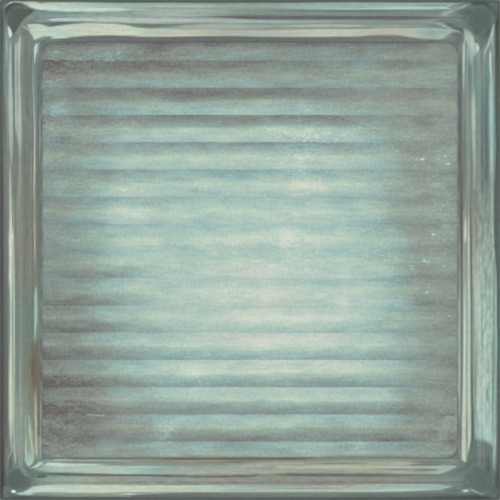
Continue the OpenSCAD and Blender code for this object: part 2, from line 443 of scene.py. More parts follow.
BOTTOM_PRINT = (
    Streak(((-98, 1, 2), (-83, 1, 17), (-79, 1, 17), (79, 1, 17), (83, 1, 17), (98, 1, 2)),
           ((-90, "#6c7b76"), (-84, "#74867f"), (-76, "#8a9a90"), (-60, "#8d9183"), (-40, "#8a9990"),
            (-10, "#8d938a"), (10, "#8f958a"), (40, "#858a80"), (60, "#84867c"), (80, "#748480"),
            (88, "#6b7875")), soft=1.0),
    Streak(((-48, 1, 2.3), (-36, 1, 3), (-26, 1, 3.5), (40, 1, 3.5), (80, 1, 3.6), (92, 1, 4)),
           ((-40, "#6b736d"), (-20, "#6d756f"), (10, "#75807a"), (30, "#737f79"), (48, "#66756f"),
            (66, "#65766f"), (84, "#5b6963"), (92, "#5a6862")), soft=0.5),
    Streak(((-96, 0, 1.7), (-40, 0, 1.6), (40, 0, 1.6), (96, 0, 1.9)),
           ((-80, "#58605b"), (20, "#58605d"), (44, "#525c55"), (90, "#4f5853")), soft=0.6),
    Streak(((-92, 2.3, 3.1), (-89, 2.6, 4.4), (-86, 3.1, 6), (-80, 3.3, 6.4), (-72, 3.1, 6.6), (-60, 3, 6.6),
            (-46, 3.3, 6.5), (-30, 3.4, 6.4), (0, 3.4, 6.5), (20, 3.5, 6.4), (40, 3.4, 6.6), (60, 3.5, 6.8),
            (72, 4, 6.8), (76, 4.2, 6.6), (78.5, 4.8, 6.2), (81, 5.5, 5.8)),
           ((-92, "#9db5ab"), (-88, "#b9cdc1"), (-80, "#c3d2c3"), (-60, "#c3d0bf"), (-46, "#c1cfbb"),
            (-20, "#b9c8b8"), (0, "#a5b6ab"), (20, "#a3afa4"), (36, "#b0b0a8"), (50, "#a5b8ae"),
            (66, "#a3bab1"), (81, "#9fb6ae"))),
    Streak(((-4, 3.6, 4.1), (10, 3.5, 4.5), (30, 3.5, 4.6), (50, 3.6, 4.6), (70, 4, 4.9), (77, 4.4, 4.8)),
           ((-4, "#b3c5b9"), (20, "#b8c5b6"), (35, "#c0c6b4"), (60, "#b3cac0"), (78, "#b0c8be"))),
    Streak(((76.5, 2.6, 3.2), (79, 2.1, 4.3), (82, 2.1, 4.7), (84.5, 2.4, 4)), "#57655f"),
    Streak(((6, 4.7, 5.1), (20, 4.6, 5.2), (36, 4.7, 5.1)), "#89948a"),
    Streak(((-55, 2.4, 2.7), (-48, 2.2, 3.1), (-43, 2.5, 2.8)), "#c4cfc4"),
    Streak(((-58, 5.3, 5.7), (-40, 5.2, 6), (-22, 5.4, 5.9)), "#cdd6bd"),
    Streak(((-86, 6.9, 9.7), (-80, 6.5, 10.2), (-60, 6.5, 10), (-40, 6.4, 9.8), (-20, 6.4, 9.3),
            (0, 6.5, 9.5), (20, 6.4, 9.8), (40, 6.5, 9.7), (60, 6.7, 9.8), (76, 6.6, 10.1), (86, 6.2, 12.2)),
           ((-86, "#748782"), (-76, "#8f9e93"), (-66, "#99a395"), (-54, "#949989"), (-46, "#8f9b92"),
            (-34, "#8a978f"), (-22, "#929790"), (-8, "#938e8b"), (2, "#8a918a"), (12, "#8d8f86"),
            (30, "#898d84"), (50, "#8c8c80"), (62, "#888c82"), (72, "#7c8a83"), (86, "#687672")), soft=0.5),
    Streak(((-85.5, 10.4, 11.4), (-81, 9.9, 11.4), (-74, 9.8, 11.2), (-64, 9.8, 10.9), (-54, 9.6, 10.6),
            (-40, 9.6, 10.6), (-30, 9.2, 10.3), (-20, 9.1, 10), (-8, 9.1, 10.2), (1, 9.3, 10.4),
            (4.5, 9.8, 10.1)),
           ((-85.5, "#61726c"), (-76, "#5f7069"), (-60, "#63706b"), (-44, "#636c69"), (-30, "#6c6e6b"),
            (-10, "#6b6460"), (4.5, "#7c7c72"))),
    Streak(((8, 10.6, 10.9), (14, 9.8, 11), (24, 9.5, 11), (34, 9.5, 10.9), (40, 9.6, 10.6), (46, 9.4, 10.7),
            (54, 9.6, 10.6), (66, 9.8, 10.3)),
           ((8, "#837f74"), (20, "#6f716c"), (34, "#747672"), (46, "#6b6e6c"), (66, "#7c8079"))),
    Streak(((-86, 12.2, 12.8), (-82, 11.5, 13.8), (-74, 11.2, 14.2), (-60, 10.8, 14.3), (-50, 10.5, 14),
            (-36, 10.5, 14.1), (-20, 10.3, 13.8), (-6, 10.5, 14.4), (6, 10.7, 15.4), (20, 11, 15.6),
            (40, 10.9, 16.1), (56, 10.7, 16.6), (66, 10.5, 15.4), (74, 10.5, 14.1), (77, 10.9, 14.3),
            (79, 11.7, 14.2), (81, 12.7, 14), (83, 13.5, 13.9)),
           ((-86, "#8fa59c"), (-78, "#a6bcb1"), (-60, "#b5c6ba"), (-48, "#abc1b7"), (-36, "#98aea7"),
            (-28, "#a4b0a5"), (-10, "#a3aca1"), (4, "#a3a99a"), (20, "#9da497"), (36, "#a0aa9f"),
            (50, "#a2a999"), (60, "#a6b1a1"), (68, "#96a094"), (76, "#a5b9ae"), (84, "#a4b8ac"))),
    Streak(((-52, 13, 13.4), (-44, 12.8, 13.9), (-38, 12.9, 13.7), (-34, 13.2, 13.5)), "#b0cec6"),
    Streak(((10, 12.9, 13.7), (16, 12.6, 14), (30, 12.5, 14), (46, 12.6, 14), (60, 12.9, 13.9),
            (72, 12.8, 13.8), (78, 12.9, 13.4)), ((10, "#b5bca8"), (60, "#b8bea8"))),
    Streak(((50, 12.1, 12.5), (60, 12, 13), (66, 11.9, 12.6), (71, 11.6, 12.8), (77, 12.1, 12.5)),
           "#7f8880"),
    Streak(((62, 14.1, 14.3), (66, 13.8, 14.9), (72, 13.8, 15.1), (79, 14.1, 14.8)), "#78827d"),
    Streak(((-83.5, 13.6, 14), (-80, 13.5, 15.3), (-72, 13.5, 15.1), (-64, 13.7, 14.9), (-57, 14.1, 14.6)),
           ((-83.5, "#b5c9bd"), (-78, "#c9d8cb"), (-66, "#bccbbd"), (-57, "#b3c3b6"))),
    Streak(((-88, 12.7, 13.1), (-85.5, 12.9, 14.5), (-84, 13.5, 15.7), (-82.6, 14.5, 15.4)), "#b5cabd"),
    Streak(((-81, 15.1, 15.7), (-70, 15, 15.9), (-60, 14.9, 15.7), (-50, 14.8, 15.5), (-43, 15, 15.2)),
           "#74827c"),
    Streak(((-79, 16, 16.3), (-77, 15.7, 16.8), (-73, 15.7, 16.7), (-69, 16, 16.3)), "#a8c2b7"),
    Streak(((-69, 15.5, 16.4), (-60, 15.5, 16.5), (-52, 15.4, 16.2), (-44, 15.6, 15.9)), "#98a698"),
    Streak(((-48, 15.6, 17), (-34, 14.7, 17.2), (-20, 14.6, 17.3), (-6, 14.8, 17.5), (8, 15.6, 17.7),
            (24, 15.7, 17.6), (40, 15.3, 17.5), (56, 15.1, 17.3), (70, 15.6, 17.3), (80, 16.2, 17.2)),
           ((-48, "#87897c"), (-30, "#868a7d"), (-16, "#858578"), (-2, "#7d7a6f"), (10, "#7d7d73"),
            (24, "#85857a"), (40, "#8f9388"), (60, "#8d9488"), (80, "#6f7f7b")), soft=0.6, strength=0.85),
    Streak(((-38, 16.4, 16.8), (-26, 16.1, 17.3), (-14, 16.2, 17.2), (0, 16.2, 17.5), (14, 16.2, 17.6),
            (26, 16.6, 17.2)), ((-38, "#6d675c"), (26, "#6b645e"))),
    Streak(((-35, 15.4, 15.8), (-24, 15.2, 16.1), (-10, 15.4, 16)), "#9c9282"),
    Streak(((22, 14.8, 15.1), (32, 14.4, 15.3), (40, 14.4, 15.3), (48, 14.8, 15.1)), "#707d78"),
)
LEFT_PRINT = (
    Streak(((-98, 1, 2), (-83, 1, 17), (-79, 1, 17), (79, 1, 17), (83, 1, 17), (98, 1, 2)),
           ((-88, "#74837d"), (-78, "#839087"), (-64, "#89968a"), (-50, "#7e877d"), (-30, "#78877f"),
            (0, "#808378"), (20, "#7d8379"), (40, "#7b827d"), (60, "#7a8a85"), (90, "#74827d")), soft=1.0),
    Streak(((-94, 0.9, 4.5), (-84, 0.9, 4.5), (-76, 0.9, 4), (-66, 0.9, 3.8), (-30, 0.9, 3.7),
            (24, 0.9, 3.7), (36, 0.9, 3.6), (50, 0.9, 3), (62, 0.9, 2.4)),
           ((-88, "#5f6962"), (-76, "#606861"), (-60, "#5f675f"), (-46, "#606962"), (-30, "#5f6c69"),
            (-10, "#6b716e"), (12, "#707772"), (30, "#727d79"), (50, "#6c7772"), (62, "#6d7874")), soft=0.5),
    Streak(((-99, 0, 1.9), (20, 0, 1.9), (50, 0, 1.4), (70, 0, 0.9)),
           ((-90, "#504f4d"), (-60, "#53524f"), (-30, "#535652"), (10, "#565350"),
            (70, "#585c58")), soft=0.6),
    Streak(((-4, 7, 7.6), (4, 6.7, 8.1), (16, 6.7, 8.3), (30, 7.1, 8.9), (38, 7.5, 8.9)),
           ((-4, "#889088"), (12, "#8b938a"), (38, "#899289")), soft=0.5),
    Streak(((16, 5.1, 5.5), (26, 5, 5.9), (38, 5, 5.9), (44, 5.2, 5.6)), "#868f88"),
    Streak(((-83, 7.3, 7.6), (-72, 6.8, 7.5), (-60, 6.8, 7.4), (-52, 7, 7.2)), "#a1aea2"),
    Streak(((-80, 8.4, 8.8), (-70, 8.1, 9), (-58, 7.9, 9), (-46, 7.7, 8.7), (-40, 8, 8.3)),
           ((-80, "#97a497"), (-50, "#8d968c"))),
    Streak(((-79, 4.6, 5.1), (-74, 4.1, 5.4), (-66, 3.8, 5.6), (-54, 3.8, 5.5), (-42, 3.9, 5.4),
            (-30, 4, 5.5), (-18, 4, 5.6), (-10, 3.7, 5.6), (-4, 3.8, 5.7), (4, 3.6, 5.7), (8, 3.8, 5.4),
            (14, 3.9, 5.2), (28, 3.8, 4.9), (36, 4, 4.6)),
           ((-79, "#a3b0a4"), (-66, "#c3cdbd"), (-45, "#ccd4c3"), (-33, "#bccbbd"), (-25, "#abc5ba"),
            (-15, "#c9d2c6"), (4, "#cfd8c9"), (12, "#ced3c1"), (24, "#bac2b5"), (36, "#a0aca3"))),
    Streak(((-86, 6.4, 6.7), (-82, 5.8, 6.6), (-78, 5.5, 6.3), (-66, 5.4, 6.3), (-30, 5.4, 6.4),
            (-2, 5.3, 6.2), (8, 5.3, 6.1), (14, 5.3, 6.1), (22, 5.4, 5.8)),
           ((-86, "#a5b0a5"), (-82, "#c5c9b8"), (-72, "#b3c2b6"), (-60, "#b9c3b7"), (-40, "#bfc9bd"),
            (-10, "#bcc7b9"), (4, "#b9c4b9"), (22, "#97a198"))),
    Streak(((-70, 5.2, 5.5), (-40, 5, 5.6), (-2, 4.9, 5.5), (4, 5.1, 5.4)), "#8b958c"),
    Streak(((34, 4.2, 5.2), (44, 3.7, 5.8), (56, 3.5, 5.6), (70, 3.5, 5.2), (80, 3.7, 5.2), (84, 4.1, 4.8)),
           ((34, "#949f97"), (48, "#aab6aa"), (60, "#b0beb2"), (76, "#a3b5aa"), (84, "#94a59c"))),
    Streak(((42, 5.6, 6), (52, 5.4, 6.1), (64, 5.2, 6), (74, 5.1, 6), (82, 4.8, 5.9), (87, 4.8, 5.2)),
           ((42, "#8f998f"), (60, "#808c85"), (74, "#737f79"), (87, "#62706b"))),
    Streak(((34, 8, 8.6), (42, 7.3, 9), (50, 6.2, 9), (62, 6.1, 8.6), (74, 6.1, 8.4), (84, 6.1, 8.7),
            (88, 7, 7.8)),
           ((34, "#87928a"), (42, "#9caaa0"), (52, "#adbaae"), (66, "#a8b5a9"), (78, "#b2beb2"),
            (88, "#98a59c"))),
    Streak(((56, 6.9, 7.4), (74, 6.7, 7.6), (85, 6.8, 7.4)), ((56, "#8d9990"), (74, "#89958c"))),
    Streak(((72, 2.8, 3.4), (80, 2.6, 3.5), (86, 2.2, 2.8)), "#8da39a"),
    Streak(((84.3, 4.1, 4.5), (86, 3.5, 5.2), (88, 3.4, 4.9), (90, 3.3, 3.7)), "#d5dfd3"),
    Streak(((-76, 11, 17.4), (-66, 10.8, 17.4), (-56, 10.2, 17.7), (-46, 10.1, 17.7), (-40, 10.8, 17.2),
            (-34, 13.2, 15.2)),
           ((-76, "#8b9384"), (-66, "#888a79"), (-54, "#838170"), (-46, "#807c6d"),
            (-34, "#787d73")), soft=2.2, strength=0.9),
    Streak(((-74, 14.8, 17.3), (-62, 14.7, 17.3), (-54, 12.8, 17.5), (-48, 12.2, 17.5), (-42, 12.8, 17.2),
            (-36, 14.2, 16.2)),
           ((-74, "#6f7468"), (-62, "#706f63"), (-52, "#726c5f"), (-44, "#736c60"),
            (-36, "#72736a")), soft=1.3, strength=0.9),
    Streak(((-8, 10.8, 13.5), (10, 10.5, 13.5), (26, 11, 12.8), (40, 11.8, 13)),
           ((-8, "#858277"), (12, "#86867b"), (40, "#838179")), soft=1.0, strength=0.6),
    Streak(((-22, 12.2, 12.9), (0, 11.9, 13.1), (36, 12, 13.3), (56, 12.1, 13)),
           ((-22, "#8d9388"), (12, "#8e9387"), (36, "#959b92"), (56, "#8b958d")), soft=0.6, strength=0.6),
    Streak(((50, 9.9, 11.6), (60, 9.8, 12), (70, 10.1, 11.4)),
           ((50, "#8a9790"), (60, "#8f9f98"), (70, "#83918a")), soft=0.9, strength=0.6),
    Streak(((-10, 14.1, 14.5), (0, 13.8, 14.6), (8, 13.6, 14.4), (16, 13.6, 14.3), (24, 13.5, 14.3),
            (34, 13.6, 14.5), (48, 13.6, 14.5), (58, 13.3, 14.2), (66, 13.1, 13.9), (76, 13.1, 13.8)),
           ((-10, "#9da398"), (2, "#b5baac"), (8, "#b8bcaf"), (16, "#b5b9ac"), (30, "#c2c7b8"),
            (46, "#bdc2af"), (60, "#a6b0a4"), (76, "#9fab9f"))),
    Streak(((-40, 14.2, 14.4), (-32, 13.8, 14.9), (-24, 13.7, 15.5), (-17, 13.9, 15.2), (-14, 14.5, 14.9)),
           ((-40, "#a9bcb0"), (-30, "#a5bdb1"), (-14, "#9fb5a9"))),
    Streak(((-83, 14.8, 15.5), (-80, 14.1, 15.2), (-72, 14, 15.1), (-62, 14, 15), (-53, 14.2, 14.6)),
           ((-83, "#a0ab9a"), (-78, "#b3bca6"), (-66, "#c3c8ae"), (-53, "#8f8d7b"))),
    Streak(((-83, 15.5, 16), (-74, 15.1, 15.8), (-62, 15, 15.6), (-54, 15.2, 15.4)), "#6c7468"),
    Streak(((-84, 16.4, 16.8), (-76, 16.1, 17), (-66, 16.2, 17), (-58, 16.4, 16.8)),
           "#9ba696", strength=0.8),
    Streak(((-52, 15.4, 17.8), (-20, 15.4, 18), (0, 14.9, 18), (30, 14.7, 17.9), (60, 14.8, 17.8),
            (76, 15.2, 17.9), (84, 16.2, 18.4)),
           ((-52, "#716b63"), (-30, "#6f7e79"), (0, "#6e7470"), (30, "#6f7572"), (60, "#6b7673"),
            (84, "#64716e")), soft=0.6),
    Streak(((35, 15.9, 16.3), (44, 15.8, 16.6), (54, 15.9, 16.5)), "#8f9991"),
    Streak(((73, 13.8, 14.1), (77, 13.7, 14.6), (80, 13.6, 15.4), (82.5, 14.5, 15.6)), "#c0d0c3"),
    Streak(((-86.3, 11.5, 13), (-84.5, 10.8, 13.8), (-81, 10.7, 14.1), (-76, 11, 13.9), (-66, 11.2, 12.8)),
           ((-86.3, "#a9c8bd"), (-83, "#a3bfb2"), (-80, "#94a18c"), (-72, "#99a38e"), (-66, "#8d9487"))),
    Streak(((-86, 11.1, 12.2), (-84, 10.2, 11.4), (-78, 10.1, 11.1), (-70, 10.2, 11), (-62, 9.9, 10.4)),
           ((-86, "#b5d0c4"), (-78, "#a9c3b5"), (-62, "#8fa59b"))),
    Streak(((-83, 13.2, 13.9), (-78, 12.5, 13.5), (-74, 12, 12.9), (-66, 11.4, 12)), "#b9c4ab"),
)
RIGHT_PRINT = (
    Streak(((-98, 1, 2), (-83, 1, 17), (-79, 1, 17), (79, 1, 17), (83, 1, 17), (98, 1, 2)),
           ((-90, "#66736f"), (-80, "#8b9c93"), (-50, "#98a99e"), (-20, "#96a89d"), (0, "#929e94"),
            (20, "#8c978d"), (40, "#869089"), (60, "#828d88"), (82, "#74827e"), (90, "#6a7573")), soft=1.0),
    Streak(((-70, 0, 0.8), (-30, 0, 1.1), (-12, 0, 1.6), (0, 0, 2.6), (10, 0, 3), (20, 0, 3), (30, 0, 2.6),
            (40, 0, 2.2), (60, 0, 2.5), (80, 0, 2.5), (92, 0, 2.3)),
           ((-70, "#5c6d66"), (-10, "#5a6a63"), (4, "#5f6c69"), (20, "#5f6a67"), (40, "#586660"),
            (66, "#58655c"), (92, "#535e56")), soft=0.5),
    Streak(((22, 4.4, 8.2), (30, 4.4, 8.6), (50, 4.4, 8.6), (66, 4.6, 8.4), (76, 5, 7.6), (81, 5.4, 6.8)),
           ((22, "#74827e"), (40, "#6e7f7d"), (56, "#6f8482"), (68, "#769089"), (76, "#7a958e"),
            (81, "#8a9c93")), soft=0.8),
    Streak(((-78.4, 3.6, 10.2), (-77, 2.8, 10.3), (-60, 2.8, 10.4), (-40, 2.7, 9.9), (-20, 2.8, 9.4),
            (-6, 3.3, 8.9), (6, 3.7, 8.6), (18, 4.1, 7.9), (28, 5.1, 6.6)),
           ((-78.4, "#a6c0b6"), (-66, "#a8c0b6"), (-54, "#adc2b6"), (-44, "#a9beb2"), (-34, "#a7bcb1"),
            (-22, "#a3b9ae"), (-8, "#9eb3aa"), (2, "#98a8a0"), (14, "#8d9c93"), (28, "#7b8c86")), soft=0.7),
    Streak(((-79, 4.4, 5.2), (-76, 4.3, 6.1), (-68, 5.2, 7.9), (-60, 5.9, 8.3), (-52, 4.7, 7), (-44, 5.6, 7),
            (-36, 4.8, 7.1), (-28, 4.6, 7.8), (-20, 4.9, 6.3)),
           ((-79, "#b8d4ca"), (-68, "#b3cebf"), (-52, "#b9ccc0"), (-28, "#b3c9be"),
            (-20, "#a9bfb5")), soft=0.9, strength=0.8),
    Streak(((-62, 4.2, 4.9), (-59, 4.3, 5.9), (-57, 4.7, 6), (-54.5, 5, 5.5)),
           "#7f979a", soft=0.6, strength=0.7),
    Streak(((24, 3.5, 3.9), (30, 3.1, 4.3), (36, 2.9, 4.5), (44, 2.9, 4.6), (50, 2.8, 4.7), (62, 2.8, 4.8),
            (70, 3.1, 4.6), (76, 3.4, 4.9), (84, 2.9, 3.9), (88, 2.6, 3.4), (90.5, 2.3, 2.9)),
           ((24, "#8fa59d"), (34, "#a0bdb6"), (46, "#98bab3"), (60, "#9bbab3"), (76, "#93aea5"),
            (90.5, "#9fb8ae"))),
    Streak(((67, 4, 4.2), (72, 3.7, 4.6), (77, 3.7, 4.7), (81.5, 4.1, 4.4)), "#cad8cb"),
    Streak(((-88, 2.3, 2.6), (-82, 2, 3.1), (-76, 1.7, 2.9), (-66, 1.9, 3), (-56, 1.6, 2.7), (-46, 1.3, 2.4),
            (-36, 1.1, 2.3), (-28, 1.4, 2.5), (-16, 1.4, 2.4), (-6, 1.8, 2.3)),
           ((-88, "#86a59b"), (-78, "#9cbdb3"), (-66, "#8eafa6"), (-50, "#8fb0a6"), (-36, "#93b5a9"),
            (-24, "#97b9ac"), (-6, "#8fac9f"))),
    Streak(((-84, 2.8, 3.4), (-66, 2.8, 3.6), (-54, 2.3, 3.7), (-40, 2.3, 3.6), (-28, 2.3, 3.3),
            (-4, 2.3, 3.1)), ((-84, "#7a938c"), (-54, "#738f87"), (-4, "#76948c"))),
    Streak(((-6, 2.8, 3.7), (4, 2.6, 3.8), (10, 3, 4), (20, 3.3, 4.1), (28, 3.5, 3.9)), "#9fada2"),
    Streak(((-77.5, 8, 10.2), (-70, 8.4, 10.3), (-60, 9.4, 10.9), (-50, 9, 11.1), (-42, 8.6, 10.8),
            (-30, 8.6, 10.6), (-16, 8.1, 10.9), (-8, 8, 11.2), (4, 8, 11.5), (18, 8, 11.5)),
           ((-77.5, "#a9bca9"), (-70, "#8db0ab"), (-60, "#8f9a86"), (-50, "#939a88"), (-40, "#9bab9b"),
            (-30, "#b3c3b5"), (-20, "#b6c3b5"), (-16, "#b3bcad"), (-8, "#acb5a6"), (0, "#9da498"),
            (8, "#949488"), (18, "#8a9187")), soft=0.6, strength=0.85),
    Streak(((16, 8.2, 11.4), (30, 8.1, 11.6), (50, 8.1, 11.9), (66, 8.1, 11.4), (79, 8, 11)),
           ((16, "#868f86"), (30, "#7f8c82"), (50, "#7f8e85"), (62, "#7c9087"), (79, "#7d9189")), soft=0.6),
    Streak(((24, 9.8, 11.2), (36, 9.7, 11.5), (46, 9.7, 11.8), (56, 9.7, 12), (66, 10.4, 11.5)),
           ((24, "#96a398"), (40, "#a3b1a6"), (52, "#b5c5ba"), (60, "#a6bab0"), (66, "#90a49b")), soft=0.8),
    Streak(((58, 10.9, 11.2), (66, 10.7, 11.6), (75, 10.7, 11.5), (79, 10.9, 11.2)),
           ((58, "#8ea39b"), (79, "#96aba3"))),
    Streak(((16, 14.1, 15.3), (30, 13.7, 15.3), (50, 13.8, 15.3), (62, 14.1, 15.1)),
           ((16, "#7d857f"), (40, "#757e78"), (62, "#7e8c85"))),
    Streak(((-8, 4.9, 6), (4, 4.5, 6.3), (14, 4.6, 6.2), (22, 4.9, 5.6)),
           ((-8, "#9fb3aa"), (6, "#9caba3"), (22, "#86958d")), soft=0.6),
    Streak(((-84.5, 12.4, 13), (-80, 11.2, 12.5), (-74, 10.5, 11.9), (-66, 10.6, 11.9), (-56, 10.9, 12),
            (-44, 11, 12), (-30, 11, 12.1), (-14, 11.1, 12.2), (0, 11.3, 12.3), (14, 11.5, 12.4),
            (24, 11.4, 12.3), (40, 11.3, 12.4), (50, 11.2, 12.5), (62, 11.6, 12.7), (74, 11.6, 12.6),
            (79, 11.6, 12.2)),
           ((-84.5, "#5f6c69"), (-70, "#616e6a"), (-50, "#68706a"), (-30, "#73817a"), (-10, "#6d736c"),
            (8, "#68665f"), (24, "#76807b"), (40, "#7c8781"), (54, "#8b9892"), (62, "#808e87"),
            (74, "#758580"), (79, "#869690"))),
    Streak(((-85.8, 14.1, 14.7), (-84, 12.8, 14.1), (-80, 12.2, 13.5), (-74, 11.8, 13.3), (-60, 11.9, 13.4),
            (-40, 12.1, 13.4), (-20, 12.2, 13.4), (-8, 12.3, 13.2), (4, 12.3, 13.2), (12, 12.3, 13.1),
            (17, 12.6, 12.9)),
           ((-85.8, "#c3cdbb"), (-76, "#bcc8bb"), (-60, "#bfcbbd"), (-40, "#bccabd"), (-20, "#c0cdbf"),
            (-8, "#c3c7b5"), (4, "#ccd2bf"), (12, "#c9c9b3"), (17, "#a5aa9c"))),
    Streak(((-87, 14.3, 15.2), (-85.3, 13.8, 15.5), (-78, 13.8, 15.6), (-68, 13.8, 15.5), (-56, 13.7, 15.3),
            (-40, 13.7, 15), (-24, 13.7, 14.9), (-14, 13.9, 14.7), (-9, 14.2, 14.5)),
           ((-86.2, "#cfdacb"), (-80, "#c0c8b0"), (-70, "#c3ccb8"), (-56, "#c0cdbd"), (-36, "#bfcdc0"),
            (-20, "#b5c5b9"), (-9, "#98a69c"))),
    Streak(((3, 13.8, 14.6), (6, 13.4, 14.8), (10, 13.5, 14.7), (13, 14, 14.4)), "#c5ccb8"),
    Streak(((17, 12.6, 13), (30, 12.4, 13.2), (36, 12.3, 13.3), (46, 12.6, 13.5), (56, 12.7, 13.6),
            (66, 12.9, 13.9), (76, 12.8, 13.8), (81, 13.1, 13.5)),
           ((17, "#96a49b"), (50, "#95a39b"), (66, "#92a39c"), (81, "#9bb0a8"))),
    Streak(((62, 14.5, 15), (68, 14.3, 15.4), (74, 14.1, 15.4), (80, 14, 15.3), (86, 14.1, 14.7)),
           ((62, "#95a9a1"), (70, "#9fb6ad"), (76, "#aac6bc"), (86, "#a0b3a8"))),
    Streak(((-84, 15.8, 16.6), (-80, 15.4, 16.6), (-66, 15.3, 16.3), (-50, 15.1, 16.1), (-30, 15.1, 16.1),
            (-10, 15, 16.3), (4, 14.9, 16.4), (20, 14.9, 16.7), (40, 15.2, 17.2), (60, 15.2, 17.3),
            (76, 15.3, 17.2), (84, 15.6, 17), (87, 16.2, 16.6)),
           ((-84, "#6b6f6a"), (-66, "#6e7b76"), (-50, "#5f716c"), (-34, "#616f6b"), (-10, "#6a6a64"),
            (6, "#666059"), (24, "#6a6a66"), (40, "#646668"), (60, "#646a6b"), (78, "#686b6c"),
            (87, "#76807c"))),
    Streak(((-66, 16.3, 16.8), (-56, 16.1, 17.2), (-44, 16.1, 17.2), (-30, 16.1, 17.3), (-14, 16.4, 17.1)),
           ((-66, "#8a9486"), (-54, "#a3af9b"), (-44, "#a5ae98"), (-28, "#98aa9f"), (-14, "#8b8f85"))),
)
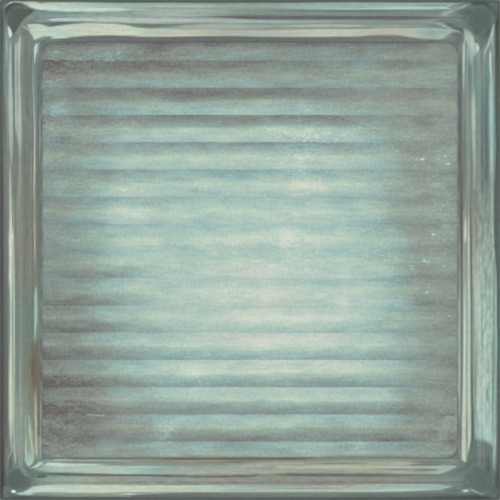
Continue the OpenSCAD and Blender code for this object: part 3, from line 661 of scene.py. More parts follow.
CORNER_PRINT = (
    (Side.LEFT, (
        # An olive panel below the top left pad, which the lenses there frame.
        Streak(((52, 9.9, 12.5), (62, 9.3, 13), (72, 9.1, 13.1), (80, 9.1, 13.5), (86, 9.9, 12.9),
                (89, 10.7, 12.1)), ((52, "#7b827c"), (70, "#7a8378"), (89, "#768076")), soft=1.1),
    )),
    (Side.TOP, (
        # Top left: a dark pad, the lighter arc round it, and the glints on its rim.
        Streak(((-95, 12.7, 18.1), (-93, 11.9, 18.1), (-91.5, 9.5, 12.9), (-90, 7.7, 10.5), (-88, 6.1, 8.9),
                (-86, 4.7, 7.3), (-84, 4.9, 5.5)),
               ((-95, "#76847e"), (-88, "#7d8c85"), (-84, "#84948c")), soft=0.7),
        Streak(((-97.7, 3.3, 8.7), (-96.8, 2.1, 10.5), (-95.4, 1.4, 12.5), (-94, 1.2, 14), (-93, 1.2, 12.7),
                (-92, 1.4, 10.9), (-90, 2, 8.2), (-88, 2.9, 6.6), (-86, 4.3, 5)),
               ((-97.7, "#56635d"), (-95, "#56615b"), (-92, "#575d59"), (-89, "#595c5a"),
                (-86, "#5f6b66")), soft=0.9),
        Streak(((-97.7, 2.7, 3.3), (-96.6, 1.5, 2.4), (-95.3, 0.8, 1.7), (-94, 0.6, 1.2), (-91.5, 0.5, 1)),
               ((-97.7, "#8fa69a"), (-95.3, "#d5e0d5"), (-94, "#b3c9be"), (-91.5, "#a5b8ac"))),
        Streak(((-90.8, 10.4, 11), (-89.2, 11, 12.1), (-87.4, 12.7, 14.1)), "#a8b5ab"),
    )),
    (Side.LEFT, (
        Streak(((75, 16.5, 18), (80, 16, 18.8), (83, 16.4, 20.2), (85, 18.7, 21.2)), "#5f6e6b"),
    )),
    (Side.TOP, (
        # Top right: a large dark pad, a tongue of light that licks in, and a bright V below it.
        Streak(((74, 8.4, 9), (77, 6.8, 9.5), (80, 6.7, 10.7), (83, 6.5, 12.1), (86, 7.1, 13.9),
                (88, 8.6, 16.1), (90, 12.1, 19.1), (92.5, 17.1, 21.1)),
               ((74, "#748680"), (80, "#64766f"), (88, "#5c6f68"), (92.5, "#5c6e67")), soft=1.0),
        Streak(((75.5, 5.9, 6.4), (78, 4.4, 6.9), (80, 4.1, 6.8), (83, 3.5, 5.8), (85.5, 2.2, 3.9),
                (88, 1.4, 2.4), (91.5, 0.9, 1.4)), ((75.5, "#8ea39b"), (82, "#9db4aa"), (91.5, "#88a096"))),
    )),
    (Side.RIGHT, (
        Streak(((80, 6.7, 7.2), (83, 5.3, 8.8), (85, 4.3, 9.7), (87, 3.5, 10.8), (89, 2.8, 12.3),
                (91, 2.5, 14), (93, 2.5, 16), (95, 2.7, 17.8), (97, 3.2, 14.8), (98.9, 5.4, 10.8)),
               ((80, "#63726c"), (88, "#5d6b66"), (98.9, "#5a6862")), soft=1.1),
    )),
    (Side.TOP, (
        Streak(((78, 6, 7.4), (81, 3.6, 9.6), (84, 2.4, 11.6), (88, 1.7, 13), (92, 1.6, 14.5), (95, 1.8, 13),
                (98, 4, 9)),
               ((78, "#6f817a"), (84, "#63756f"), (90, "#586761"),
                (98, "#5c6963")), soft=2.2, strength=0.85),
        Streak(((81, 9, 9.8), (84, 8.8, 12), (86.5, 8.4, 13.8), (88, 10.4, 15.2), (89.5, 12, 16.6),
                (91, 13.6, 17.6)),
               ((81, "#6f807a"), (88, "#75857f"), (91, "#6c7c77")), soft=1.4, strength=0.85),
        Streak(((73, 7.8, 8.2), (77, 8.3, 9.3), (79, 9.2, 10.6), (81, 10.2, 11.4), (83, 11.2, 12.2),
                (86.5, 12.5, 13.9)), ((73, "#747a77"), (77, "#5e6462"), (86.5, "#5a605e"))),
        Streak(((71, 8.8, 9.3), (76, 9.2, 10.6), (79, 10.9, 12.4), (82, 12, 13.2), (85.5, 13, 13.9)),
               ((71, "#98a59c"), (77, "#acb6aa"), (85.5, "#a9b2a5")), soft=0.7),
        Streak(((70, 10.3, 10.8), (74, 9.9, 11.3), (77, 10.7, 11.9), (79.5, 11.7, 12.1)), "#7b8a85"),
        Streak(((77, 15.9, 16.7), (80, 14, 17.5), (82, 13.1, 18.5), (84.5, 13.5, 19.6)),
               ((77, "#737c77"), (81, "#666e6a"), (84.5, "#64716c")), soft=0.7),
    )),
    (Side.RIGHT, (
        Streak(((73, 11.4, 12.6), (76.5, 10.4, 13.3), (79, 9, 13.5), (81, 8.2, 13.7), (83, 9.8, 14.2),
                (85, 10.2, 15.2), (87, 11.6, 15.4), (88, 12.9, 15.2), (88.7, 14, 14.8)),
               ((73, "#8ea59d"), (76.5, "#9cb2a9"), (79.5, "#a6b9ae"), (82, "#afbfb2"), (84, "#b0bfb2"),
                (87, "#9dafa4"), (88.7, "#7f918a")), soft=1.2),
        Streak(((74, 12, 12.3), (79, 11.9, 12.5), (86, 12.6, 13)), "#8fa69d"),
        Streak(((78.6, 8.9, 9.3), (80.8, 8.5, 9.8), (82.8, 9.3, 9.8)), "#c5d5c9"),
        Streak(((83, 14.8, 15.3), (85.6, 14.3, 15.1), (87.3, 14.9, 16.8), (88.6, 17.2, 21.2)), "#606864"),
        Streak(((78.5, 6.2, 7.2), (81, 4.5, 6), (84, 3.6, 4.9), (87, 3, 4), (90, 2.3, 3)),
               ((78.5, "#8eaaa3"), (84, "#a5beb4"), (90, "#9fb8ae"))),
        Streak(((77, 3.7, 4), (80, 3.4, 4.3), (84, 3.4, 4.1), (86, 3.6, 3.9)), "#6b7c78"),
    )),
    (Side.BOTTOM, (
        # Bottom left: a round dark pad with a white glint, and lenses that taper up from it.
        Streak(((-97.9, 5.6, 8.8), (-96.7, 4.4, 11.2), (-95, 3.9, 12.8), (-93.4, 3.5, 14), (-92, 3.5, 13.5),
                (-90.5, 3.7, 11.7), (-89, 4.4, 10.5), (-87.4, 5.7, 9.6), (-85.4, 7.6, 8.4)),
               ((-97.5, "#545f5a"), (-94, "#5a6563"), (-91, "#5c6766"), (-85.4, "#62706b")), soft=2.0),
        Streak(((-95.4, 3.5, 4), (-94.4, 2.9, 4.5), (-93.3, 3.3, 3.9)), "#e3ebe4"),
        Streak(((-93.5, 2.6, 3.1), (-91, 2, 3.5), (-88, 2, 3.2), (-86, 2.4, 2.9)), "#a9bfb4"),
        Streak(((-85.8, 9.1, 9.9), (-84, 8.6, 10.6), (-82, 8.6, 10.7), (-80.7, 9.4, 10.2)),
               "#505c4f", soft=0.9),
    )),
    (Side.LEFT, (
        Streak(((-90, 10, 11.6), (-87, 8.2, 10.5), (-84, 7.3, 8.9), (-82, 7.6, 8.1)),
               "#84988f", soft=0.7, strength=0.6),
        Streak(((-88, 4.8, 5.4), (-84, 3.7, 5.4), (-80, 4.1, 4.9), (-78, 4.5, 4.8)), "#606b67"),
        Streak(((-84, 3.2, 3.6), (-81, 4.1, 4.8), (-78.5, 4.9, 5.5)), "#a9b8ad"),
    )),
    (Side.BOTTOM, (
        # Bottom right: a wide blue-grey pad, a glint, and the ends of the bright lines.
        Streak(((86, 8.1, 17.1), (88, 6.1, 24.1), (90, 5.1, 26.1), (93, 4.1, 25.5), (95.5, 4.1, 24.6),
                (97, 5.1, 22.1)),
               ((86, "#667672"), (90, "#63746f"), (94, "#677570"), (97, "#5f6e68")), soft=2.6, strength=0.9),
        Streak(((76, 7.4, 9.6), (80, 6.3, 11.8), (83, 5.6, 13.6), (86, 5.2, 14.4), (88.2, 4.5, 16.6),
                (89.5, 3.7, 17.6), (92, 2.6, 18.1), (94.5, 2.7, 18.1), (96, 3.2, 17.1), (97.3, 4.6, 13.2),
                (98.2, 6.7, 9.2)),
               ((76, "#75857e"), (84, "#66756f"), (90, "#5e6d69"), (94, "#606c69"),
                (98.2, "#5a6861")), soft=1.6),
        Streak(((82, 8.4, 11), (86, 8.6, 13.4), (88, 10.2, 15), (90, 12, 16), (92, 12.6, 16.2),
                (94.5, 12.8, 15.4)),
               ((82, "#6f7f79"), (88, "#73827d"), (94.5, "#6b7975")), soft=1.4, strength=0.8),
        Streak(((84.6, 3.8, 4.2), (86, 3.2, 4.7), (87.4, 3.7, 4.2)), "#bccbc3"),
        Streak(((86.3, 4.8, 5.3), (89, 3.6, 4.5), (91, 2.8, 3.6), (93, 2.3, 2.8)), "#9cb2a9"),
        Streak(((90.8, 15.7, 18.7), (91.5, 14.7, 19.7), (92.2, 15.7, 18.7)),
               "#7d766b", soft=1.0, strength=0.3),
    )),
)


def frame_colours(x: np.ndarray, y: np.ndarray, half: float) -> np.ndarray:
    """Paints the frame's print.

    Args:
        x: Places along the flutes.
        y: Places across the flutes.
        half: Half of the tile's size.

    Returns:
        Linear colours, one row a point, with the share of the frame's print there as alpha.
    """
    in_x, in_y = half - np.abs(x), half - np.abs(y)
    edge = np.minimum(in_x, in_y)
    ink = tones_at(GROUND_TONES, edge)
    sides = (
        (Side.LEFT, LEFT_PRINT),
        (Side.RIGHT, RIGHT_PRINT),
        (Side.TOP, TOP_PRINT),
        (Side.BOTTOM, BOTTOM_PRINT),
        *CORNER_PRINT,
    )
    for side, streaks in sides:
        along, depth = side.along_and_depth(x, y, half)
        for streak in streaks:
            streak.lay(ink, along, depth)
    # Painted shade and light: the ink is painted darker where the gloss adds light on the rolls and round the
    # pads, and lighter where less light falls on the print.
    rolls = np.clip((ROLLS_END - np.minimum(np.abs(x), np.abs(y))) / ROLLS_FADE, 0.0, 1.0)
    off_pad = np.hypot(in_x - PAD_MIDDLE, in_y - PAD_MIDDLE)
    veil = np.interp(edge, *np.array(GLOSS_VEIL).T) * rolls + np.interp(off_pad, *np.array(PAD_VEIL).T)
    gain = CORNER_GAIN + (np.interp(edge, *np.array(PRINT_GAIN).T) - CORNER_GAIN) * rolls
    ink = np.clip((ink - veil[:, None]) / gain[:, None], DARKEST_INK, LIGHTEST_INK)
    turn = FIELD_EDGE + np.where((x < 0) & (y < 0), SHARP_CORNER, FIELD_CORNER)
    inset = turn - np.hypot(np.maximum(turn - in_x, 0.0), np.maximum(turn - in_y, 0.0))
    cover = soft_step((FIELD_EDGE + FIELD_FADE / 2 - inset) / FIELD_FADE)
    return np.column_stack((ink, cover))


@dataclass(frozen=True)
class Patch:
    """A soft worn or tinted patch of the fluted field.

    It has a place and half sizes. A tone of 0.01 is a hundredth of the way from black to white. A
    blush of 1 turns the colour to the pinkish greys, and one below 0 to mint. Flakes say how much of
    the patch the pale worn blotches cover, and shade deepens the dark flanks of its flutes.
    """

    x: float
    y: float
    across: float
    up: float
    tone: float = 0.0
    blush: float = 0.0
    flakes: float = 0.0
    shade: float = 0.0


WEAR = (
    # The crawled, mottled stretches of the frame's rolls.
    Patch(94, -34, 4, 46, flakes=1.0),
    Patch(94, 6, 4, 12, flakes=0.9),
    Patch(91, 45, 3, 30, flakes=0.4),
    Patch(-40, -92.5, 42, 2.5, flakes=0.6),
    Patch(30, -92.5, 40, 3, flakes=0.6),
    Patch(20, -87, 60, 3, flakes=0.35),
    Patch(-55, 93.5, 26, 2.5, flakes=0.7),
    Patch(-88, -70, 3, 14, flakes=0.35),
    Patch(-88, 30, 4, 40, flakes=0.3),
    # Flutes that stand out more to the left, and less in the top right corner.
    Patch(-50, 14, 11, 30, tone=0.045, shade=0.36),
    Patch(-50, -6, 11, 12, shade=0.2),
    Patch(40, 64, 24, 15, tone=-0.03, shade=-0.28),
    Patch(60, -76, 6, 6, shade=0.3),
    # Grime and worn spots in the top left corner.
    Patch(-75, 73.4, 9, 3, tone=-0.03, blush=0.15),
    Patch(-78, 69, 5, 3, tone=-0.03, blush=0.3),
    Patch(-35, 80.6, 8, 2, tone=-0.045, blush=0.35),
    Patch(-41, 72.6, 7, 2, tone=-0.02, blush=0.2),
    Patch(-77.4, 79, 2.5, 1.2, tone=0.015, blush=-0.15),
    Patch(-62, 78.2, 5, 1.6, tone=0.01, blush=-0.2),
    Patch(-52.7, 78.6, 2.5, 1.6, tone=0.035, blush=-0.2),
    Patch(-77, 65.2, 4, 2.2, tone=0.06, blush=-0.35),
    Patch(-76.5, 57, 3.5, 2.5, tone=0.06, blush=-0.1),
    Patch(-80, 43, 3, 1.6, tone=0.02, blush=-0.25),
    Patch(-73, 45.8, 7, 1.8, tone=-0.05),
    Patch(-76, 50, 8, 14, tone=0.025),
    Patch(-76, 16, 8, 12, tone=0.015),
    Patch(-60, 26, 7, 22, tone=-0.02),
    Patch(54, 47, 7, 6, tone=-0.035),
    Patch(-10, -80, 9, 4, tone=-0.03),
    Patch(22, -62, 8, 4, tone=-0.02),
    Patch(60, 70, 20, 6, tone=0.02),
    Patch(38, -6, 8, 6, tone=0.02),
    Patch(54, -17, 7, 6, tone=-0.02),
    Patch(70, -62, 9, 6, tone=-0.015),
    # Worn, chalky spots and upright wipes in the middle.
    Patch(1, -7.5, 9, 3.5, blush=0.35),
    Patch(13.3, 3.6, 1.4, 3.2, tone=0.04, blush=0.4),
    Patch(36.4, -20.5, 2, 3.5, tone=0.03, blush=0.6),
    Patch(38.4, -16, 1.2, 9, tone=0.03, blush=0.2),
    Patch(12, -20.5, 9, 2.5, tone=-0.01, blush=0.4),
    Patch(23.2, -26.8, 1.4, 1.8, tone=0.04, blush=0.4),
    Patch(-3, -26.5, 9, 2, tone=0.01, blush=0.35),
    # Crazed, gritty patches, mostly in the corners and by the left and right sides.
    Patch(-68, 75, 18, 6, flakes=0.8),
    Patch(-79, 52, 5, 24, flakes=0.6, shade=-0.15),
    Patch(-76, -74, 9, 9, flakes=1.1),
    Patch(-72, -51.5, 9, 3, flakes=0.9),
    Patch(-70, -63, 13, 3, flakes=0.8),
    Patch(-80, -20, 4, 34, flakes=0.4, shade=-0.1),
    Patch(-34, -72, 5, 6, tone=0.025, flakes=0.8),
    Patch(42, -78, 7, 3, flakes=0.8),
    Patch(78, -72, 8, 12, flakes=0.7),
    Patch(76, 20, 8, 30, flakes=0.4),
    Patch(-34, 77, 14, 5, flakes=0.5),
    # Dark smudges and dust in the bottom right corner.
    Patch(72, -73, 6, 2.5, tone=-0.035, blush=0.25),
    Patch(80.5, -75.5, 3.5, 3, tone=-0.04, blush=0.1),
    Patch(75, -66, 4, 2.5, tone=-0.03),
    Patch(81, -52, 6, 26, tone=-0.03),
    # Dark, rosy grime in the bottom left corner and up the left side.
    Patch(-75, -73, 10, 7, tone=-0.05, blush=0.05),
    Patch(-56, -66, 12, 7, tone=-0.03, blush=0.25),
    Patch(-42, -62, 9, 12, tone=-0.03),
    Patch(-72, -60, 26, 17, tone=-0.08, blush=0.1),
    Patch(-78, -32, 16, 20, tone=-0.012),
    Patch(-40, -34, 14, 12, tone=-0.025),
    # Paler towards the top right corner and half way up the left side.
    Patch(74, 72, 22, 13, tone=0.055),
    Patch(78, 46, 8, 26, tone=0.03),
    Patch(-68, 28, 22, 20, tone=0.04),
    Patch(-48, 22, 14, 11, tone=0.025),
    Patch(-76, 60, 14, 12, tone=0.03),
    # Cloudy bands near the top and the bottom.
    Patch(-42, 72, 15, 6, tone=-0.045),
    Patch(-4, 60, 18, 6, tone=-0.035),
    Patch(-30, 71, 40, 7, blush=0.18),
    Patch(-20, -62, 24, 7, tone=-0.04),
    Patch(-10, -70, 30, 7, blush=0.14),
    Patch(58, -78, 20, 9, tone=0.028),
    # The pale middle, worn through in blotches.
    Patch(20, 26, 10, 20, tone=0.03, flakes=0.4),
    Patch(22, 44, 24, 12, flakes=0.5),
    Patch(50, 28, 13, 18, tone=-0.028),
    Patch(8, -5, 28, 13, tone=0.028, flakes=0.35),
    Patch(0, -40, 18, 14, tone=0.022),
    Patch(0, -30, 12, 9, blush=0.2),
    # Small rosy blotches and dark smudges.
    Patch(22, 26, 9, 2.5, tone=0.03, blush=0.8, flakes=0.3),
    Patch(-6, -9, 9, 2.2, blush=0.6),
    Patch(7, -21, 5, 3, blush=0.8),
    Patch(2, -36, 10, 2.4, blush=0.8),
    Patch(15, 6, 4, 7, tone=0.01, flakes=0.5),
    Patch(-75, -52, 6, 2.2, tone=-0.045, blush=0.2),
    Patch(-77, -63.5, 8, 1.6, tone=-0.03, blush=0.2),
    Patch(-79, -22.5, 5, 2, tone=-0.05),
    # Mint and rosy patches.
    Patch(0, -4, 34, 22, blush=-0.1),
    Patch(-20, 22, 26, 12, blush=-0.25),
    Patch(-6, 10, 28, 14, blush=-0.25),
    Patch(-28, -48, 15, 11, blush=-0.35),
    Patch(-56, 34, 12, 9, blush=-0.3),
    Patch(-66, 2, 14, 8, blush=-0.22),
    Patch(30, 4, 13, 18, blush=-0.3),
    Patch(48, -18, 12, 14, blush=-0.28),
    Patch(66, 22, 11, 28, blush=0.22),
    Patch(76, -12, 10, 24, blush=0.08),
    Patch(56, 58, 20, 9, blush=0.25),
    Patch(66, -48, 10, 14, blush=0.08),
    Patch(-64, 44, 12, 9, blush=0.4),
)


def field_wear(x: np.ndarray, y: np.ndarray) -> np.ndarray:
    """Adds up the field's worn and tinted patches.

    Args:
        x: Places along the flutes.
        y: Places across the flutes.

    Returns:
        One row a point: the tone, blush, share of flakes and shade that are added there.
    """
    wear = np.zeros((len(x), 4))
    for patch in WEAR:
        share = np.exp(-(((x - patch.x) / patch.across) ** 2 + ((y - patch.y) / patch.up) ** 2))
        wear += share[:, None] * (patch.tone, patch.blush, patch.flakes, patch.shade)
    return wear


@dataclass(frozen=True)
class Tile:
    """The pressed tile as one closed mesh: face, edges and keyed back."""

    relief: Relief
    # The mesh's bands from the edge inwards: where each ends and how many lines it holds.
    frame_spans: tuple = ((0.5, 6), (1.85, 5), (2.5, 7), (6.8, 11), (8.0, 6), (17.8, 24), (21.4, 6))
    field_step: float = 1.3
    flute_steps: int = 12
    # The edges lean in by the draft below the glaze, and the bevel runs round the back.
    glaze_foot: float = 4.2
    draft: float = 0.12
    bevel: float = 0.8
    # The keyed back: cells a side, their depth, and the ribs and the border that they leave.
    cells: int = 6
    cell_depth: float = 0.9
    cell_corner_r: float = 3.0
    cell_corner_steps: int = 5
    rib_w: float = 3.0
    border_w: float = 6.0
    # Starts and sizes on the bake map; the edges' four strips also have a step and a full height.
    face_room: tuple = (0.004, 0.722)
    back_room: tuple = (0.735, 0.26)
    edge_room: tuple = (0.74, 0.065, 0.05, 6.0)

    def frame_stations(self) -> list[float]:
        """Distances from the edge at which the mesh has a line, close where the moulding is steep."""
        found, start = [0.0], 0.0
        for end, count in self.frame_spans:
            found += [start + (end - start) * (i + 1) / count for i in range(count)]
            start = end
        return found

    def stations(self, half: float, fluted: bool) -> list[float]:
        """Places of the mesh's lines along one direction.

        Args:
            half: Half of the tile's size in that direction.
            fluted: Whether the lines follow the flutes.

        Returns:
            The places from one edge to the other.
        """
        edge = [half - d for d in self.frame_stations()]
        inside = edge[-1]
        if fluted:
            step = self.relief.pitch / self.flute_steps
            count = int((inside - step / 2) / step)
        else:
            count = round(inside / self.field_step)
            step = inside / count
            count -= 1
        middle = [i * step for i in range(-count, count + 1)]
        return [-e for e in edge] + middle + edge[::-1]

    def rounded(self, x: float, y: float) -> tuple[float, float]:
        """Moves a point of the square grid on to the outline with round corners."""
        r = self.relief.corner_r
        u = (abs(x) - self.relief.half_w + r) / r
        v = (abs(y) - self.relief.half_h + r) / r
        if min(u, v) <= 0:
            return x, y
        k = max(u, v) / math.hypot(u, v)
        out_x = self.relief.half_w - r + u * k * r
        out_y = self.relief.half_h - r + v * k * r
        return math.copysign(out_x, x), math.copysign(out_y, y)

    def add_face(self, bm: bmesh.types.BMesh) -> None:
        """Adds the glazed face as a grid whose lines are moved to their stations and heights."""
        xs = self.stations(self.relief.half_w, fluted=False)
        ys = self.stations(self.relief.half_h, fluted=True)
        nx, ny = len(xs) - 1, len(ys) - 1
        bmesh.ops.create_grid(bm, x_segments=nx, y_segments=ny, size=1.0)
        for v in bm.verts:
            x = xs[round((v.co.x + 1) / 2 * nx)]
            y = ys[round((v.co.y + 1) / 2 * ny)]
            z = self.relief.height(x, y)
            v.co = Vector((*self.rounded(x, y), z)) * MM
        for f in bm.faces:
            f.smooth = True
            f.material_index = Slot.FACE.value

    def add_edges(self, bm: bmesh.types.BMesh) -> list[bmesh.types.BMEdge]:
        """Draws the four edges of the tile down from the face to the back.

        Args:
            bm: The mesh that holds the face.

        Returns:
            The loop of edges round the back.
        """
        loop = [e for e in bm.edges if e.is_boundary]
        before = 0.0
        for z, inset in ((self.glaze_foot, 0.0), (self.bevel, self.draft), (0.0, self.bevel)):
            made = bmesh.ops.extrude_edge_only(bm, edges=loop)["geom"]
            for v in (g for g in made if isinstance(g, bmesh.types.BMVert)):
                v.co.x *= (self.relief.half_w - inset) / (self.relief.half_w - before)
                v.co.y *= (self.relief.half_h - inset) / (self.relief.half_h - before)
                v.co.z = z * MM
            for f in (g for g in made if isinstance(g, bmesh.types.BMFace)):
                f.material_index = Slot.EDGE.value
                f.smooth = True
            loop = [g for g in made if isinstance(g, bmesh.types.BMEdge) and g.is_boundary]
            before = inset
        return loop

    def cut_back(self, bm: bmesh.types.BMesh, loop: list[bmesh.types.BMEdge]) -> list[bmesh.types.BMFace]:
        """Closes the back and cuts it along the middles of its ribs.

        Args:
            bm: The mesh that holds the face and the edges.
            loop: The loop of edges round the back.

        Returns:
            The faces that become the cells.
        """
        for f in bmesh.ops.contextual_create(bm, geom=loop)["faces"]:
            f.material_index = Slot.BACK.value
        reach = []
        for axis, half in enumerate((self.relief.half_w, self.relief.half_h)):
            pitch = (2 * (half - self.border_w) + self.rib_w) / self.cells * MM
            reach.append(pitch * self.cells / 2)
            for i in range(self.cells + 1):
                place, normal = Vector(), Vector()
                place[axis] = (i - self.cells / 2) * pitch
                normal[axis] = 1
                back = [f for f in bm.faces if f.material_index == Slot.BACK.value]
                geom = {*back, *(e for f in back for e in f.edges), *(v for f in back for v in f.verts)}
                bmesh.ops.bisect_plane(bm, geom=list(geom), dist=SNAP, plane_co=place, plane_no=normal)
        back = [(f, f.calc_center_median()) for f in bm.faces if f.material_index == Slot.BACK.value]
        return [f for f, middle in back if abs(middle.x) < reach[0] and abs(middle.y) < reach[1]]

    def sink_cells(self, bm: bmesh.types.BMesh, cells: list[bmesh.types.BMFace]) -> None:
        """Sinks the back's keying cells between their ribs and rounds their corners."""
        for f in bmesh.ops.inset_individual(bm, faces=cells, thickness=self.rib_w / 2 * MM)["faces"]:
            f.material_index = Slot.BACK.value
        floors = bmesh.ops.extrude_discrete_faces(bm, faces=cells)["faces"]
        verts = list({v for f in floors for v in f.verts})
        bmesh.ops.translate(bm, verts=verts, vec=(0, 0, self.cell_depth * MM))
        edges = {e for v in verts for e in v.link_edges}
        corners = [e for e in edges if abs(e.verts[0].co.z - e.verts[1].co.z) > LEAST_RISE]
        bmesh.ops.bevel(
            bm,
            geom=corners,
            offset=self.cell_corner_r * MM,
            offset_type="OFFSET",
            affect="EDGES",
            segments=self.cell_corner_steps,
            profile=0.5,
            material=-1,
            clamp_overlap=False,
        )

    def bake_place(self, co: Vector, slot: int, normal: Vector) -> tuple[float, float]:
        """Place of a corner on the map that colours are baked to.

        Args:
            co: The corner, in metres.
            slot: The finish of its face.
            normal: The way its face points.

        Returns:
            The place on the map, from 0 to 1 in both directions.
        """
        s = co.x / (2 * self.relief.half_w * MM) + 0.5
        t = co.y / (2 * self.relief.half_h * MM) + 0.5
        if slot != Slot.EDGE.value:
            start, size = self.face_room if slot == Slot.FACE.value else self.back_room
            return start + size * s, start + size * t
        upright = abs(normal.x) > abs(normal.y)
        strip = 2 + (normal.x > 0) if upright else int(normal.y > 0)
        start, size = self.face_room
        first, step, width, full = self.edge_room
        return start + size * (t if upright else s), first + step * strip + width * co.z / (full * MM)

    def add_bake_map(self, bm: bmesh.types.BMesh) -> None:
        """Lays the face out large on the bake map, with the edges and the back beside it."""
        layer = bm.loops.layers.uv.new(BAKE_MAP)
        for f in bm.faces:
            for corner in f.loops:
                corner[layer].uv = self.bake_place(corner.vert.co, f.material_index, f.normal)

    def add_print(self, mesh: bpy.types.Mesh) -> None:
        """Paints the frame's print and the field's wear into the mesh."""
        places = np.empty(len(mesh.vertices) * 3)
        mesh.vertices.foreach_get("co", places)
        x, y, _ = places.reshape(-1, 3).T / MM
        colours = frame_colours(x, y, self.relief.half_w)
        cover = mesh.attributes.new("cover", "FLOAT", "POINT")
        cover.data.foreach_set("value", colours[:, 3].copy())
        colours[:, 3] = 1.0
        for name, layer in (("print", colours), ("wear", field_wear(x, y))):
            painted = mesh.attributes.new(name, "FLOAT_COLOR", "POINT")
            painted.data.foreach_set("color", layer.ravel())

    def build(self) -> bpy.types.Object:
        """Builds the tile's mesh."""
        bm = bmesh.new()
        self.add_face(bm)
        loop = self.add_edges(bm)
        self.sink_cells(bm, self.cut_back(bm, loop))
        bmesh.ops.recalc_face_normals(bm, faces=bm.faces)
        self.add_bake_map(bm)
        open_edges = sum(1 for e in bm.edges if not e.is_manifold)
        triangles = sum(len(f.verts) - 2 for f in bm.faces)
        log.info("tile: %d triangles, %d open edges", triangles, open_edges)
        mesh = bpy.data.meshes.new("tile")
        bm.to_mesh(mesh)
        bm.free()
        self.add_print(mesh)
        tile = bpy.data.objects.new("glazed_tile", mesh)
        bpy.context.scene.collection.objects.link(tile)
        return tile

    def dress(self, tile: bpy.types.Object) -> None:
        """Gives the tile its three finishes, in the order of the slots."""
        for finish in (PrintedGlaze(), GlazedEdge(Clay()), FiredBack(Clay())):
            tile.data.materials.append(finish.build())


def principled(name: str) -> tuple[bpy.types.Material, bpy.types.NodeTree, bpy.types.Node]:
    """Makes an empty material of a name, and gives it with its node tree and its shader node."""
    mat = bpy.data.materials.new(name)
    mat.use_nodes = True
    return mat, mat.node_tree, mat.node_tree.nodes["Principled BSDF"]


def millimetres(tree: Tree) -> Link:
    """Gives the place on the piece in millimetres."""
    place = add(tree, "TexCoord", out=3)
    return add(tree, "Mapping", {0: place, 3: (1 / MM, 1 / MM, 1 / MM)})


@dataclass(frozen=True)
class Clouds:
    """A cloudy pattern: its waves per millimetre in x, y and z, its detail, and where it starts."""

    waves: tuple[float, float, float]
    detail: float = 2.0
    rough: float = 0.5
    start: tuple[float, float, float] = (0.0, 0.0, 0.0)

    def spread(self, tree: Tree, place: Link) -> Link:
        """Gives the pattern at a place, from 0 to 1."""
        moved = add(tree, "Mapping", {0: place, 1: self.start, 3: self.waves})
        return add(tree, "TexNoise", {0: moved, 2: 1.0, 3: self.detail, 4: self.rough})

    def swing(self, tree: Tree, place: Link) -> Link:
        """Gives the pattern at a place, from -0.5 to 0.5."""
        return add(tree, "Math", (self.spread(tree, place), 0.5), operation="SUBTRACT")


@dataclass(frozen=True)
class Tint:
    """A tone that comes in over a colour where a value is in a range."""

    edge: Range
    code: str
    easing: str = "LINEAR"

    def over(self, tree: Tree, colour: Link, value: Link) -> Link:
        """Gives the tinted colour."""
        share = add(tree, "MapRange", (value, *self.edge), interpolation_type=self.easing)
        return add(tree, "Mix", {0: share, 6: colour, 7: linear(self.code)}, 2, data_type="RGBA")


@dataclass(frozen=True)
class Spot:
    """What the steps of the glaze's print share: the place, and the wear that is painted there."""

    tree: Tree
    place: Link
    x: Link
    y: Link
    tone: Link
    blush: Link
    flakes: Link
    shade: Link

    @classmethod
    def read(cls, tree: Tree) -> "Spot":
        """Adds the nodes that give the place and the wear."""
        place = millimetres(tree)
        x, y = (add(tree, "SeparateXYZ", (place,), i) for i in range(2))
        wear = add(tree, "Attribute", attribute_name="wear")
        tone, blush, flakes = (add(tree, "SeparateXYZ", (wear,), i) for i in range(3))
        shade = add(tree, "Attribute", attribute_name="wear", out=3)
        return cls(tree, place, x, y, tone, blush, flakes, shade)


